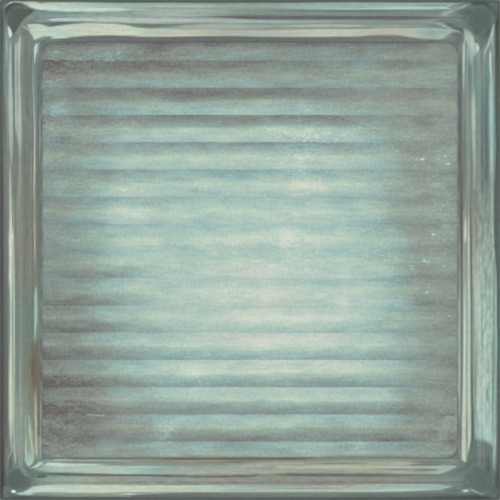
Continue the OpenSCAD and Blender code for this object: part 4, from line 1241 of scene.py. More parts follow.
@dataclass(frozen=True)
class Fluting:
    """The light on the field and its flutes, as the print shows them in a glass block.

    The middle of the block glows, and each flute is dark on its side away from the middle line.
    """

    pitch: float = 10.87
    # Half of the field, and the line on which the flutes are mirrored.
    reach: float = 84.0
    middle: float = -0.4
    # The tone without the glow, what the glow adds, what a dark flank takes, and a flute's pale crest.
    low: float = 0.51
    span: float = 0.306
    depth: float = 0.216
    crest: Range = (40.0, 52.0, 0.05, 0.0)
    # The glow from left to right and from bottom to top.
    across: Curve = ((0, 0.25), (0.05, 0.26), (0.12, 0.45), (0.17, 0.64), (0.22, 0.8), (0.31, 0.93),
                     (0.42, 0.99), (0.64, 1.0), (0.74, 0.93), (0.79, 0.83), (0.84, 0.65), (0.88, 0.44),
                     (0.93, 0.32), (1, 0.26))
    upward: Curve = ((0, 0.45), (0.08, 0.62), (0.14, 0.82), (0.21, 0.93), (0.28, 0.95), (0.36, 0.9),
                     (0.47, 0.8), (0.53, 0.89), (0.62, 0.83), (0.74, 0.81), (0.8, 0.76), (0.86, 0.53),
                     (0.92, 0.37), (1, 0.04))
    # How dark the flanks are from left to right, from bottom to top, and up the left side.
    shade_across: Curve = ((0, 0.4), (0.12, 0.48), (0.2, 0.72), (0.3, 0.92), (0.5, 1.0), (0.74, 0.96),
                           (0.8, 0.72), (0.85, 0.45), (0.9, 0.28), (1, 0.25))
    shade_up: Curve = ((0, 0.95), (0.08, 0.75), (0.14, 0.85), (0.21, 0.82), (0.27, 0.62), (0.34, 0.29),
                       (0.4, 0.02), (0.47, 0.02), (0.53, 0.25), (0.6, 0.27), (0.66, 0.49), (0.73, 0.65),
                       (0.79, 0.96), (0.86, 0.88), (0.92, 0.42), (1, 0.5))
    left_up: Curve = ((0, 0.05), (0.08, 0.33), (0.14, 0.47), (0.21, 0.56), (0.34, 0.6), (0.4, 0.38),
                      (0.47, 0.33), (0.53, 0.18), (0.6, 0.33), (0.73, 0.4), (0.86, 0.4), (0.92, 0.45),
                      (1, 0.38))
    # Where the left side and the right side begin, and how dark the right side's flanks are.
    leftward: Range = (-30.0, -58.0, 0.0, 1.0)
    rightward: Range = (52.0, 70.0, 0.0, 1.0)
    shade_right: Range = (62.0, 82.0, 0.4, 0.12)
    slant: float = 0.12
    # The shade and the crest across one flute, from the line nearer the middle to the next.
    flank: Curve = ((0, 0), (0.43, 0), (0.48, 0.06), (0.53, 0.33), (0.59, 0.5), (0.66, 0.65), (0.72, 0.77),
                    (0.78, 0.87), (0.84, 0.94), (0.91, 1.0), (1, 1.0))
    ridge: Curve = ((0, 0.0), (0.05, 0.3), (0.15, 0.42), (0.25, 0.58), (0.35, 0.8), (0.45, 1.0), (1, 1.0))
    # The flanks' edges wander, and crumble where the print is gritty.
    drift: Clouds = Clouds((0.03, 0.16, 1.0))
    wander: Range = (0.3, 0.7, -0.14, 0.14)
    crumble: float = 2.5

    def turn(self, spot: Spot, grit: Link) -> Link:
        """Gives the place across a flute, from 0 at the line nearer the middle to 1 at the next."""
        away = add(spot.tree, "Math", (spot.y, self.middle), operation="SUBTRACT")
        away = add(spot.tree, "Math", (away,), operation="ABSOLUTE")
        away = add(spot.tree, "Math", (grit, self.crumble, away), operation="MULTIPLY_ADD")
        turns = add(spot.tree, "Math", (away, 1 / self.pitch), operation="MULTIPLY")
        return add(spot.tree, "Math", (turns,), operation="FRACT")

    def wandered(self, spot: Spot, turn: Link) -> Link:
        """Moves the place across a flute so that its lines stay and its flank's edge wanders."""
        drift = add(spot.tree, "MapRange", (self.drift.spread(spot.tree, spot.place), *self.wander))
        from_line = add(spot.tree, "Math", (turn, 0.5), operation="PINGPONG")
        return add(spot.tree, "Math", (drift, from_line, turn), operation="MULTIPLY_ADD")

    def glow(self, spot: Spot, rise: Link) -> Link:
        """Gives the tone of the field's light, without the flutes."""
        run = add(spot.tree, "MapRange", (spot.x, -self.reach, self.reach, 0.0, 1.0))
        across = add(spot.tree, "FloatCurve", (1.0, run), bends=self.across)
        upward = add(spot.tree, "FloatCurve", (1.0, rise), bends=self.upward)
        glow = add(spot.tree, "Math", (across, upward), operation="MULTIPLY")
        return add(spot.tree, "Math", (glow, self.span, self.low), operation="MULTIPLY_ADD")

    def slanted(self, spot: Spot) -> Link:
        """Gives the place from left to right along lines that lean."""
        return add(spot.tree, "Math", (spot.y, self.slant, spot.x), operation="MULTIPLY_ADD")

    def at_right(self, spot: Spot) -> Link:
        """Gives how far a place belongs to the right side."""
        side = (self.slanted(spot), *self.rightward)
        return add(spot.tree, "MapRange", side, interpolation_type="SMOOTHSTEP")

    def darkness(self, spot: Spot, rise: Link) -> Link:
        """Gives how dark the flutes' flanks are, as a share of their full depth."""
        tree = spot.tree
        run = add(tree, "MapRange", (self.slanted(spot), -self.reach, self.reach, 0.0, 1.0))
        across = add(tree, "FloatCurve", (1.0, run), bends=self.shade_across)
        upward = add(tree, "FloatCurve", (1.0, rise), bends=self.shade_up)
        dark = add(tree, "Math", (across, upward), operation="MULTIPLY")
        at_left = add(tree, "MapRange", (spot.x, *self.leftward), interpolation_type="SMOOTHSTEP")
        left = add(tree, "FloatCurve", (1.0, rise), bends=self.left_up)
        dark = add(tree, "Mix", {0: at_left, 2: dark, 3: left}, data_type="FLOAT")
        right = add(tree, "MapRange", (spot.x, *self.shade_right))
        dark = add(tree, "Mix", {0: self.at_right(spot), 2: dark, 3: right}, data_type="FLOAT")
        return add(tree, "Math", (dark, spot.shade))

    def tone(self, spot: Spot, turn: Link, moved: Link) -> Link:
        """Gives the tone of the lit flutes, before it wears.

        Args:
            spot: The place and its wear.
            turn: The place across a flute, from 0 to 1.
            moved: The same place with its wandering flank.

        Returns:
            The tone, from 0 for black to 1 for white.
        """
        tree = spot.tree
        rise = add(tree, "MapRange", (spot.y, -self.reach, self.reach, 0.0, 1.0))
        flank = add(tree, "FloatCurve", (1.0, moved), bends=self.flank)
        shade = add(tree, "Math", (self.darkness(spot, rise), flank), operation="MULTIPLY")
        tone = add(tree, "Math", (shade, -self.depth, self.glow(spot, rise)), operation="MULTIPLY_ADD")
        ridge = add(tree, "FloatCurve", (1.0, turn), bends=self.ridge)
        ridge = add(tree, "Math", (ridge, 0.5), operation="SUBTRACT")
        crest = add(tree, "MapRange", (spot.y, *self.crest))
        return add(tree, "Math", (ridge, crest, tone), operation="MULTIPLY_ADD")


@dataclass(frozen=True)
class Marks:
    """The field's marks: clouds, flaked blotches, grit, chips and scratches of age, and one painted glint."""

    # Clouds with the share of the tone that each takes or adds.
    mottles: tuple = (
        (Clouds((1.7, 1.9, 1.0), 1.0), 0.11),
        (Clouds((0.9, 1.0, 1.0), 1.0), 0.09),
        (Clouds((0.12, 0.9, 1.0), 1.0), 0.1),
        (Clouds((1.4, 0.35, 1.0), 1.0), 0.035),
        (Clouds((0.1, 0.22, 1.0), 2.0), 0.13),
        (Clouds((0.035, 0.06, 1.0), 1.0), 0.12),
    )
    # Blotches where the print has flaked: how wear spreads them, and the tone and blush they add.
    flakes: Clouds = Clouds((0.22, 0.42, 1.0), 5.0, 0.62)
    flake_edge: Range = (0.66, 0.78, 0.0, 1.0)
    flake_spread: float = 0.3
    flake_tone: float = 0.045
    flake_blush: float = 0.15
    grit: Clouds = Clouds((0.8, 1.0, 1.0), 3.0, 0.7, (4.0, 2.0, 8.0))
    grit_tone: float = 0.34
    grit_blush: float = -0.9
    # Chips as (x, y, radius, tone), the share of a radius that is full, and their ragged outlines.
    chips: tuple = (
        (68.9, 36.2, 0.9, 0.24), (66.6, 36.1, 0.6, 0.12), (77.8, 37.5, 0.7, 0.16), (79.0, 34.3, 0.9, 0.24),
        (77.6, 35.1, 0.5, 0.12), (74.6, 31.9, 0.6, 0.12), (58.6, 39.5, 0.6, 0.12), (78.8, 18.4, 0.6, 0.1),
        (73.2, 6.2, 0.8, 0.22), (75.4, 4.8, 0.6, 0.1), (77.8, -1.3, 0.7, 0.16), (69.6, -4.2, 0.9, 0.15),
        (71.2, -4.7, 0.8, 0.15), (64.0, -6.2, 0.6, 0.2), (65.3, -6.4, 0.6, 0.16), (64.5, -7.5, 0.6, 0.2),
        (77.4, -6.4, 0.7, 0.2), (70.6, -16.9, 0.8, 0.24), (-52.7, 78.6, 0.9, 0.14), (-77.4, 79.0, 1.0, 0.1),
        (-50.0, 24.0, 0.6, 0.2),
    )
    chip_core: float = 0.1
    ragged: float = 1.6
    ragged_waves: float = 1.3
    ragged_detail: float = 3.0
    chip_stretch: tuple = (0.8, 1.3)
    # Scratches and one painted glint as (start, end, half width, tone), and the share of a half width that is
    # full.
    line_core: float = 0.4
    scratches_and_glint: tuple = (
        ((34.4, 53.2), (52.8, 46.8), 0.32, -0.06),
        # A painted glint: a bright thin line.
        ((-65.0, -65.6), (-58.0, -66.2), 0.35, 0.1),
        ((-23.0, -47.0), (-19.0, -54.4), 0.35, 0.05),
        ((66.0, -52.3), (74.0, -52.8), 0.3, 0.05),
        ((74.0, -52.8), (82.0, -53.6), 0.25, 0.04),
        ((44.8, -70.2), (44.6, -72.8), 0.3, 0.05),
        ((46.2, -69.8), (46.0, -73.4), 0.3, 0.04),
        ((-77.5, 44.9), (-71.5, 44.9), 0.25, -0.05),
        ((-77.0, 43.8), (-71.0, 43.7), 0.25, -0.05),
        ((-77.5, 42.7), (-71.5, 42.6), 0.25, -0.05),
        ((-20.0, 43.0), (-15.5, 37.0), 0.35, -0.035),
        ((-62.5, -22.0), (-62.8, -32.0), 0.4, -0.03),
    )

    def gritty(self, spot: Spot) -> Link:
        """Gives the grit, which lies where the wear has flakes and both lightens and darkens."""
        grit = self.grit.swing(spot.tree, spot.place)
        return add(spot.tree, "Math", (grit, spot.flakes), operation="MULTIPLY")

    def age(self, spot: Spot, grit: Link, tone: Link) -> tuple[Link, Link]:
        """Wears the field's tone, and adds the painted glint.

        Args:
            spot: The place and its wear.
            grit: The grit there.
            tone: The tone of the lit flutes.

        Returns:
            The worn tone and the blush.
        """
        tree = spot.tree
        tone = add(tree, "Math", (tone, spot.tone))
        for clouds, share in self.mottles:
            swing = clouds.swing(tree, spot.place)
            tone = add(tree, "Math", (swing, share, tone), operation="MULTIPLY_ADD")
        flakes = self.flakes.spread(tree, spot.place)
        flakes = add(tree, "Math", (spot.flakes, self.flake_spread, flakes), operation="MULTIPLY_ADD")
        flakes = add(tree, "MapRange", (flakes, *self.flake_edge), interpolation_type="SMOOTHSTEP")
        blush = spot.blush
        for mark, lighter, rosier in (
            (flakes, self.flake_tone, self.flake_blush),
            (grit, self.grit_tone, self.grit_blush),
        ):
            tone = add(tree, "Math", (mark, lighter, tone), operation="MULTIPLY_ADD")
            blush = add(tree, "Math", (mark, rosier, blush), operation="MULTIPLY_ADD")
        for mark, lighter in (*self.chipped(spot), *self.scratched_and_glinting(spot)):
            tone = add(tree, "Math", (mark, lighter, tone), operation="MULTIPLY_ADD")
        return tone, blush

    def chipped(self, spot: Spot) -> list[tuple[Link, float]]:
        """Gives how far each chip covers a place, with the tone that it adds."""
        tree = spot.tree
        stretch = (*self.chip_stretch, 0.0)
        shove = add(tree, "TexNoise", {0: spot.place, 2: self.ragged_waves, 3: self.ragged_detail}, 1)
        moved = (shove, (self.ragged, self.ragged, 0.0), spot.place)
        ragged = add(tree, "VectorMath", moved, operation="MULTIPLY_ADD")
        ragged = add(tree, "VectorMath", (ragged, stretch), operation="MULTIPLY")
        found = []
        for x, y, size, lighter in self.chips:
            middle = (stretch[0] * (x + self.ragged / 2), stretch[1] * (y + self.ragged / 2), 0.0)
            off = add(tree, "VectorMath", (ragged, middle), 1, operation="DISTANCE")
            chip = add(tree, "MapRange", (off, size * self.chip_core, size, 1.0, 0.0))
            found.append((chip, lighter))
        return found

    def scratched_and_glinting(self, spot: Spot) -> list[tuple[Link, float]]:
        """Gives how far each scratch, and the painted glint, covers a place, with the tone that it adds."""
        tree = spot.tree
        flat = add(tree, "VectorMath", (spot.place, (1.0, 1.0, 0.0)), operation="MULTIPLY")
        found = []
        for start, end, width, lighter in self.scratches_and_glint:
            run = Vector((end[0] - start[0], end[1] - start[1], 0.0))
            out = add(tree, "VectorMath", (flat, (*start, 0.0)), operation="SUBTRACT")
            ends = (out, tuple(run / run.length_squared))
            share = add(tree, "VectorMath", ends, 1, operation="DOT_PRODUCT")
            share = add(tree, "Math", (share, 0.0), operation="ADD", use_clamp=True)
            along = add(tree, "VectorMath", {0: tuple(run), 3: share}, operation="SCALE")
            off = add(tree, "VectorMath", (out, along), operation="SUBTRACT")
            off = add(tree, "VectorMath", (off,), 1, operation="LENGTH")
            line_mark = add(tree, "MapRange", (off, width * self.line_core, width, 1.0, 0.0))
            found.append((line_mark, lighter))
        return found


@dataclass(frozen=True)
class FieldInks:
    """The field's inks by tone: greens, blues in the flutes' shade, and pinkish greys where rubbed."""

    greens: Stops = ((0.40, "#676563"), (0.459, "#737673"), (0.5, "#7c857f"), (0.557, "#8a948a"),
                     (0.616, "#96a396"), (0.675, "#9eb5a7"), (0.733, "#abc5b6"), (0.788, "#bcd2c3"),
                     (0.839, "#cad9c9"), (0.88, "#dbe2d4"))
    blues: Stops = ((0.424, "#6e706f"), (0.498, "#7a8481"), (0.557, "#849391"), (0.616, "#8ca4a0"),
                    (0.675, "#97b5b1"), (0.733, "#a7c5be"), (0.788, "#b8cdc2"), (0.85, "#d0dace"))
    blushes: Stops = ((0.4, "#6c6462"), (0.5, "#837b77"), (0.62, "#a9a297"), (0.78, "#cfcbbc"),
                      (0.85, "#dcdacb"))
    # How blue the ink is across a flute, its clouds, the tones that take it, and less of it at right.
    coolness: Curve = ((0, 0.9), (0.1, 1.0), (0.16, 0.95), (0.22, 0.8), (0.28, 0.58), (0.34, 0.42),
                       (0.41, 0.25), (0.47, 0.06), (0.53, 0.15), (0.59, 0.4), (0.66, 0.56), (0.72, 0.7),
                       (0.78, 0.85), (0.84, 0.95), (1, 1))
    cool_clouds: Clouds = Clouds((0.05, 0.15, 1.0), start=(3.0, 8.0, 2.0))
    cool_share: float = 0.9
    cool_tones: Range = (0.47, 0.63, 0.0, 1.0)
    cool_right: float = 0.5
    # A faint blush in clouds, and how the painted blush fades towards the paler tones.
    rosy_clouds: Clouds = Clouds((0.05, 0.12, 1.0), start=(9.0, 1.0, 5.0))
    rosy: Range = (0.5, 0.75, 0.0, 0.18)
    rosy_tones: Range = (0.5, 0.68, 1.0, 0.4)
    # Pale and dark specks as (tone, share, rarity at left, rarity at right, where they start), and
    # how they gather in clumps and flaked places.
    specks: tuple = (("#dde6da", 0.5, 0.76, 0.7, 0.0), ("#5e625f", 0.35, 0.69, 0.77, 30.0))
    speck_waves: float = 0.75
    speck_edge: float = 0.05
    clumps: Clouds = Clouds((0.06, 0.06, 0.06), 1.0)
    clumping: Range = (0.35, 0.65, -0.03, 0.03)
    flaked_specks: float = 0.06

    def cool(self, spot: Spot, tone: Link, moved: Link, at_right: Link) -> Link:
        """Gives the share of the blues, from 0 to 1."""
        tree = spot.tree
        near = add(tree, "FloatCurve", (1.0, moved), bends=self.coolness)
        clouds = self.cool_clouds.spread(tree, spot.place)
        near = add(tree, "Math", (clouds, self.cool_share, near), operation="MULTIPLY_ADD")
        near = add(tree, "Math", (near, self.cool_share / 2), operation="SUBTRACT")
        pale = add(tree, "MapRange", (tone, *self.cool_tones), interpolation_type="SMOOTHSTEP")
        near = add(tree, "Math", (near, pale), operation="MULTIPLY", use_clamp=True)
        left = add(tree, "Math", (at_right, -self.cool_right, 1.0), operation="MULTIPLY_ADD")
        return add(tree, "Math", (near, left), operation="MULTIPLY")

    def blushed(self, spot: Spot, tone: Link, blush: Link) -> Link:
        """Gives the share of the pinkish greys, below 0 where the ink is more of a mint."""
        tree = spot.tree
        rose = add(tree, "MapRange", (self.rosy_clouds.spread(tree, spot.place), *self.rosy))
        dusky = add(tree, "MapRange", (tone, *self.rosy_tones), interpolation_type="SMOOTHSTEP")
        return add(tree, "Math", (blush, dusky, rose), operation="MULTIPLY_ADD")

    def speckled(self, spot: Spot, reach: float, colour: Link) -> Link:
        """Adds pale specks, mostly to the right, and dark ones, mostly to the left.

        Args:
            spot: The place and its wear.
            reach: Half of the field.
            colour: The field's colour.

        Returns:
            The speckled colour.
        """
        tree = spot.tree
        clump = add(tree, "MapRange", (self.clumps.spread(tree, spot.place), *self.clumping))
        clump = add(tree, "Math", (spot.flakes, self.flaked_specks, clump), operation="MULTIPLY_ADD")
        for code, share, left, right, start in self.specks:
            specks = Clouds((self.speck_waves,) * 3, start=(start,) * 3).spread(tree, spot.place)
            rarity = add(tree, "MapRange", (spot.x, -reach, reach, left, right))
            speck = add(tree, "Math", (specks, rarity), operation="SUBTRACT")
            speck = add(tree, "Math", (speck, clump))
            speck = add(tree, "MapRange", (speck, 0.0, self.speck_edge, 0.0, share))
            colour = add(tree, "Mix", {0: speck, 6: colour, 7: linear(code)}, 2, data_type="RGBA")
        return colour

    def colour(self, spot: Spot, tone: Link, cool: Link, blush: Link) -> Link:
        """Mixes the inks for a tone, by the shares of the blues and the pinkish greys."""
        green, blue, grey = (
            add(spot.tree, "ValToRGB", (tone,), stops=stops)
            for stops in (self.greens, self.blues, self.blushes)
        )
        mixed = add(spot.tree, "Mix", {0: cool, 6: green, 7: blue}, 2, data_type="RGBA")
        rubbed = {0: blush, 6: mixed, 7: grey}
        return add(spot.tree, "Mix", rubbed, 2, data_type="RGBA", clamp_factor=False)


@dataclass(frozen=True)
class Brushwork:
    """The brush lines, clouding and crawled clots of the frame's print, which run along each side."""

    # Lines with the share of the colour that each takes or adds.
    lines: tuple = ((Clouds((0.045, 1.5, 1.0)), 0.42), (Clouds((0.35, 0.7, 1.0)), 0.3))
    clots: Clouds = Clouds((0.2, 0.75, 1.0), 4.0, 0.62)
    clotting: Range = (0.36, 0.62, -0.3, 0.135)
    # The brush lines fade in the corners, and the upright sides read another layer of the noise.
    calm: Range = (82.0, 88.0, 1.0, 0.3)
    upright_layer: float = 7.0

    def brushed(self, spot: Spot, painted: Link) -> Link:
        """Adds the brushwork to the frame's painted colour."""
        tree = spot.tree
        off_x, off_y = (add(tree, "Math", (place,), operation="ABSOLUTE") for place in (spot.x, spot.y))
        upright = add(tree, "Math", (off_x, off_y), operation="GREATER_THAN")
        level = add(tree, "CombineXYZ", (spot.x, spot.y, 0.0))
        turned = add(tree, "CombineXYZ", (spot.y, spot.x, self.upright_layer))
        along = add(tree, "Mix", {0: upright, 4: level, 5: turned}, 1, data_type="VECTOR")
        amount = 0.0
        for clouds, share in self.lines:
            swing = clouds.swing(tree, along)
            amount = add(tree, "Math", (swing, share, amount), operation="MULTIPLY_ADD")
        nearer = add(tree, "Math", (off_x, off_y), operation="MINIMUM")
        calm = add(tree, "MapRange", (nearer, *self.calm))
        amount = add(tree, "Math", (amount, calm, 1.0), operation="MULTIPLY_ADD")
        clots = add(tree, "MapRange", (self.clots.spread(tree, along), *self.clotting))
        amount = add(tree, "Math", (clots, spot.flakes, amount), operation="MULTIPLY_ADD")
        return add(tree, "VectorMath", {0: painted, 3: amount}, operation="SCALE")


@dataclass(frozen=True)
class PrintedGlaze:
    """Transparent glossy glaze, fired over an ink-jet print of a glass block.

    The print is worn and cloudy, the glaze is smooth and thin: the eye sees soft worn colour under
    a sharp, slightly wavy gloss.
    """

    fluting: Fluting = Fluting()
    marks: Marks = Marks()
    inks: FieldInks = FieldInks()
    brushwork: Brushwork = Brushwork()
    haze: Clouds = Clouds((0.05, 0.11, 1.0), 4.0)
    roughness: Range = (0.3, 0.7, 0.11, 0.18)
    ior: float = 1.5

    def field(self, spot: Spot) -> Link:
        """Paints the fluted field."""
        grit = self.marks.gritty(spot)
        turn = self.fluting.turn(spot, grit)
        moved = self.fluting.wandered(spot, turn)
        tone, blush = self.marks.age(spot, grit, self.fluting.tone(spot, turn, moved))
        cool = self.inks.cool(spot, tone, moved, self.fluting.at_right(spot))
        blush = self.inks.blushed(spot, tone, blush)
        colour = self.inks.colour(spot, tone, cool, blush)
        return self.inks.speckled(spot, self.fluting.reach, colour)

    def build(self) -> bpy.types.Material:
        """Makes the material."""
        mat, tree, shader = principled("printed_glossy_glaze")
        spot = Spot.read(tree)
        field = self.field(spot)
        painted = add(tree, "Attribute", attribute_name="print")
        frame = self.brushwork.brushed(spot, painted)
        cover = add(tree, "Attribute", attribute_name="cover", out=2)
        colour = add(tree, "Mix", {0: cover, 6: field, 7: frame}, 2, data_type="RGBA")
        tree.links.new(colour, shader.inputs["Base Color"])
        rough = add(tree, "MapRange", (self.haze.spread(tree, spot.place), *self.roughness))
        tree.links.new(rough, shader.inputs["Roughness"])
        shader.inputs["IOR"].default_value = self.ior
        return mat


@dataclass(frozen=True)
class Clay:
    """White-firing clay pressed dry from powder and fired: matt, sandy, with pinholes and iron specks."""

    tones: Stops = ((0.3, "#c6b9a4"), (0.5, "#d3c8b6"), (0.72, "#ddd4c5"))
    clouds: Clouds = Clouds((0.045, 0.045, 0.045), 4.0, 0.6)
    # Grains of about half a millimetre, drawn that coarse so that they show.
    sand: Clouds = Clouds((1.6, 1.6, 1.6), 3.0, 0.7)
    sand_share: float = 0.5
    iron: Clouds = Clouds((0.75, 0.75, 0.75), 1.0)
    rust: Tint = Tint((0.74, 0.79, 0.0, 0.75), "#8c7964")
    # The pinholes: sunk by the bump, and painted darker, which is painted shade in them.
    pits: Clouds = Clouds((0.9, 0.9, 0.9), 1.0, start=(27.9, 6.3, 2.7))
    pit_edge: Range = (0.7, 0.78, 0.0, 1.0)
    pit_shade: str = "#9d8e79"
    pit_depth: float = 1.2
    roughness: float = 0.86
    grain_depth: float = 0.00006

    def body(self, tree: Tree, place: Link) -> tuple[Link, Link]:
        """Colours the clay and gives its grain.

        Args:
            tree: The material's node tree.
            place: The place in millimetres.

        Returns:
            The colour, and the height of the grain from 0 to 1.
        """
        sand = self.sand.spread(tree, place)
        grain = add(tree, "Math", (sand, 0.5), operation="SUBTRACT")
        clouds = self.clouds.spread(tree, place)
        tone = add(tree, "Math", (grain, self.sand_share, clouds), operation="MULTIPLY_ADD")
        colour = add(tree, "ValToRGB", (tone,), stops=self.tones)
        colour = self.rust.over(tree, colour, self.iron.spread(tree, place))
        pits = add(tree, "MapRange", (self.pits.spread(tree, place), *self.pit_edge))
        # Painted shade: the pinholes are painted darker.
        colour = add(tree, "Mix", {0: pits, 6: colour, 7: linear(self.pit_shade)}, 2, data_type="RGBA")
        return colour, add(tree, "Math", (pits, -self.pit_depth, sand), operation="MULTIPLY_ADD")

    def roughen(self, tree: Tree, height: Link, shader: bpy.types.Node) -> None:
        """Raises a shader's surface by the height of the grain."""
        bump = {0: 1.0, "Distance": self.grain_depth, "Height": height}
        tree.links.new(add(tree, "Bump", bump), shader.inputs["Normal"])


@dataclass(frozen=True)
class GlazedEdge:
    """The tile's side: glaze that ran over the arris and stopped in a wavy lip on the bare clay."""

    clay: Clay
    # The lip's lowest height, and its slow and quick waves with how far each carries it.
    lip: float = 2.55
    lip_waves: tuple = ((Clouds((0.055, 0.055, 0.0)), 2.6), (Clouds((0.42, 0.42, 0.0)), 0.5))
    lip_edge: Range = (-0.05, 0.06, 0.0, 1.0)
    # The glaze: its runs, the dark bead in which it stopped, and its thin pale edge.
    runs: Clouds = Clouds((0.25, 0.25, 0.9), 3.0)
    glaze_tones: Stops = ((0.3, "#4c5652"), (0.6, "#5d6863"), (0.8, "#77857f"))
    bead: Tint = Tint((0.55, 0.15, 0.0, 0.8), "#414a46", "SMOOTHSTEP")
    thin: Tint = Tint((0.14, 0.0, 0.0, 0.85), "#8f978f", "SMOOTHSTEP")
    gloss: float = 0.15
    # The clay: rubbed upright by the die's wall, and darker towards its foot.
    drag: Clouds = Clouds((0.8, 0.8, 0.06), 3.0)
    rubbed: Tint = Tint((0.45, 0.75, 0.0, 0.3), "#a79a86")
    foot: Tint = Tint((0.2, 1.1, 0.35, 0.0), "#948772")

    def lip_height(self, tree: Tree, place: Link) -> Link:
        """Gives the height at which the glaze stopped."""
        lip = self.lip
        for waves, share in self.lip_waves:
            lip = add(tree, "Math", (waves.spread(tree, place), share, lip), operation="MULTIPLY_ADD")
        return lip

    def bare(self, tree: Tree, place: Link, z: Link) -> tuple[Link, Link]:
        """Gives the colour and the grain of the side's bare clay."""
        clay, grain = self.clay.body(tree, place)
        clay = self.rubbed.over(tree, clay, self.drag.spread(tree, place))
        return self.foot.over(tree, clay, z), grain

    def glaze(self, tree: Tree, place: Link, over: Link) -> Link:
        """Gives the colour of the glaze by its height over the lip."""
        glaze = add(tree, "ValToRGB", (self.runs.spread(tree, place),), stops=self.glaze_tones)
        return self.thin.over(tree, self.bead.over(tree, glaze, over), over)

    def build(self) -> bpy.types.Material:
        """Makes the material."""
        mat, tree, shader = principled("glaze_run_over_pressed_clay")
        place = millimetres(tree)
        z = add(tree, "SeparateXYZ", (place,), 2)
        over = add(tree, "Math", (z, self.lip_height(tree, place)), operation="SUBTRACT")
        glazed = add(tree, "MapRange", (over, *self.lip_edge), interpolation_type="SMOOTHSTEP")
        clay, grain = self.bare(tree, place, z)
        glaze = self.glaze(tree, place, over)
        colour = add(tree, "Mix", {0: glazed, 6: clay, 7: glaze}, 2, data_type="RGBA")
        tree.links.new(colour, shader.inputs["Base Color"])
        rough = add(tree, "MapRange", (glazed, 0.0, 1.0, self.clay.roughness, self.gloss))
        tree.links.new(rough, shader.inputs["Roughness"])
        sandy = add(tree, "MapRange", (glazed, 0.0, 1.0, 1.0, 0.0))
        self.clay.roughen(tree, add(tree, "Math", (grain, sandy, glazed), operation="MULTIPLY_ADD"), shader)
        return mat


@dataclass(frozen=True)
class FiredBack:
    """The tile's underside: pressed clay with white kiln wash on its ribs and roller marks across."""

    clay: Clay
    # Painted shade: the sunk cells are painted darker than the ribs.
    cell_shade: Tint = Tint((0.15, 0.85, 0.0, 0.4), "#b3a48c")
    # The wash lies in powdery clouds, and little of it reaches the cells.
    wash: Clouds = Clouds((0.11, 0.11, 0.11), 6.0, 0.66)
    wash_edge: Range = (0.46, 0.62, 0.0, 0.85)
    wash_tone: str = "#e6e1d6"
    reached: Range = (0.0, 0.25, 1.0, 0.12)
    # The kiln's rollers: their pitch, where they start as a share of it, and their smeared marks.
    roller_pitch: float = 52.0
    roller_start: float = 0.31
    roller_edge: Range = (0.03, 0.07, 1.0, 0.0)
    smears: Clouds = Clouds((0.5, 0.05, 1.0), 3.0)
    smear_edge: Range = (0.4, 0.65, 0.0, 0.65)
    roller_tone: str = "#a39a8b"

    def rolled(self, tree: Tree, place: Link) -> Link:
        """Gives the share of the rollers' marks."""
        y = add(tree, "SeparateXYZ", (place,), 1)
        turns = add(tree, "Math", (y, 1 / self.roller_pitch, self.roller_start), operation="MULTIPLY_ADD")
        band = add(tree, "Math", (turns, 0.5), operation="PINGPONG")
        band = add(tree, "MapRange", (band, *self.roller_edge), interpolation_type="SMOOTHSTEP")
        smears = add(tree, "MapRange", (self.smears.spread(tree, place), *self.smear_edge))
        return add(tree, "Math", (band, smears), operation="MULTIPLY")

    def build(self) -> bpy.types.Material:
        """Makes the material."""
        mat, tree, shader = principled("pressed_clay_with_kiln_wash")
        place = millimetres(tree)
        z = add(tree, "SeparateXYZ", (place,), 2)
        clay, grain = self.clay.body(tree, place)
        # Painted shade in the sunk cells.
        colour = self.cell_shade.over(tree, clay, z)
        powder = add(tree, "MapRange", (self.wash.spread(tree, place), *self.wash_edge))
        reached = add(tree, "MapRange", (z, *self.reached))
        for mark, code in ((powder, self.wash_tone), (self.rolled(tree, place), self.roller_tone)):
            share = add(tree, "Math", (mark, reached), operation="MULTIPLY")
            colour = add(tree, "Mix", {0: share, 6: colour, 7: linear(code)}, 2, data_type="RGBA")
        tree.links.new(colour, shader.inputs["Base Color"])
        shader.inputs["Roughness"].default_value = self.clay.roughness
        self.clay.roughen(tree, grain, shader)
        return mat


@dataclass(frozen=True)
class StudioPaper:
    """A sheet of matt off-white paper, with the faint cloudiness of its fibres."""

    tones: Stops = ((0.35, "#d8d8d4"), (0.65, "#dbdbd8"))
    fibres: Clouds = Clouds((0.02, 0.02, 0.02), 5.0, 0.6)
    roughness: float = 0.9

    def build(self) -> bpy.types.Material:
        """Makes the material."""
        mat, tree, shader = principled("matt_studio_paper")
        fibres = self.fibres.spread(tree, millimetres(tree))
        tree.links.new(add(tree, "ValToRGB", (fibres,), stops=self.tones), shader.inputs["Base Color"])
        shader.inputs["Roughness"].default_value = self.roughness
        return mat


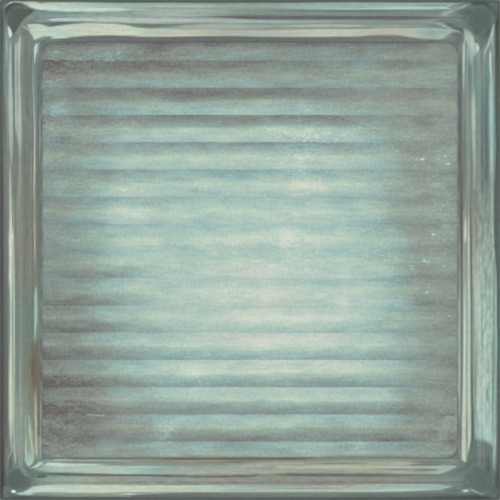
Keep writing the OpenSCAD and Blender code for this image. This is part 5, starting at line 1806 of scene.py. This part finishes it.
@dataclass(frozen=True)
class Studio:
    """Pale floor, soft lamps low on four sides, and a camera that looks straight down.

    Its lengths are in metres, its powers in watts and its lamps' tilt in degrees from upright.
    """

    # The camera's height, and how far inside the tile's edge the view ends.
    distance: float = 8.0
    trim: float = 0.00025
    # The film's width in millimetres, and the nearest thing that the camera sees.
    sensor: float = 36.0
    clip_start: float = 0.01
    lamps: int = 4
    lamp_size: float = 1.5
    lamp_distance: float = 1.5
    lamp_tilt: float = 58.0
    lamp_power: float = 6.4
    # The sky's strength at the horizon and overhead, and as the camera sees it.
    sky_low: float = 1.1
    sky_high: float = 0.21
    backdrop: float = 0.85
    floor_size: float = 3.0

    def add_floor(self, scene: bpy.types.Scene) -> None:
        """Lays the paper."""
        bm = bmesh.new()
        bmesh.ops.create_grid(bm, x_segments=1, y_segments=1, size=self.floor_size / 2)
        mesh = bpy.data.meshes.new("floor")
        bm.to_mesh(mesh)
        bm.free()
        floor = bpy.data.objects.new("floor", mesh)
        floor.data.materials.append(StudioPaper().build())
        scene.collection.objects.link(floor)

    def add_lamps(self, scene: bpy.types.Scene) -> None:
        """Stands the lamps round the tile, all aimed at its middle."""
        tilt = math.radians(self.lamp_tilt)
        for turn in range(self.lamps):
            angle = math.tau * turn / self.lamps
            aim = Vector((math.cos(angle) * math.sin(tilt), math.sin(angle) * math.sin(tilt), math.cos(tilt)))
            data = bpy.data.lights.new(f"lamp_{turn}", "AREA")
            data.shape = "SQUARE"
            data.size = self.lamp_size
            data.energy = self.lamp_power
            lamp = bpy.data.objects.new(f"lamp_{turn}", data)
            lamp.location = aim * self.lamp_distance
            lamp.rotation_euler = aim.to_track_quat("Z", "Y").to_euler()
            scene.collection.objects.link(lamp)

    def add_sky(self, scene: bpy.types.Scene) -> None:
        """Lights the room more from its sides than from above, against an even backdrop."""
        world = bpy.data.worlds.new("studio")
        world.use_nodes = True
        tree = world.node_tree
        up = add(tree, "SeparateXYZ", (add(tree, "TexCoord"),), 2)
        light = add(tree, "MapRange", (up, 0.0, 1.0, self.sky_low, self.sky_high))
        seen = add(tree, "LightPath")
        strength = add(tree, "Mix", {0: seen, 2: light, 3: self.backdrop}, data_type="FLOAT")
        background = tree.nodes["Background"]
        background.inputs["Color"].default_value = linear("#ffffff")
        tree.links.new(strength, background.inputs["Strength"])
        scene.world = world

    def add_camera(self, scene: bpy.types.Scene, half_w: float, top: float) -> None:
        """Hangs the camera over the tile, whose half width at the height of its rim fills the view."""
        data = bpy.data.cameras.new("camera")
        data.sensor_width = self.sensor
        data.lens = self.sensor * (self.distance - top) / (2 * (half_w - self.trim))
        data.clip_start = self.clip_start
        camera = bpy.data.objects.new("camera", data)
        camera.location = (0, 0, self.distance)
        scene.collection.objects.link(camera)
        scene.camera = camera

    def build(self, half_w: float, top: float) -> None:
        """Sets up the studio round a tile of this half width, with its rim at this height."""
        scene = bpy.context.scene
        scene.view_settings.view_transform = "Standard"
        self.add_floor(scene)
        self.add_lamps(scene)
        self.add_sky(scene)
        self.add_camera(scene, half_w, top)


def main() -> None:
    """Builds the tile and the studio, and says what the piece rides on."""
    logging.basicConfig(level=logging.INFO, format="%(name)s: %(message)s")
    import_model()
    _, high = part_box(NODE)
    relief = Relief(high.x / MM, high.y / MM, high.z / MM)
    maker = Tile(relief)
    tile = maker.build()
    maker.dress(tile)
    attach(tile, "root")
    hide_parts(NODE)
    Studio().build(high.x, relief.rim * MM)


if __name__ == "__main__":
    main()
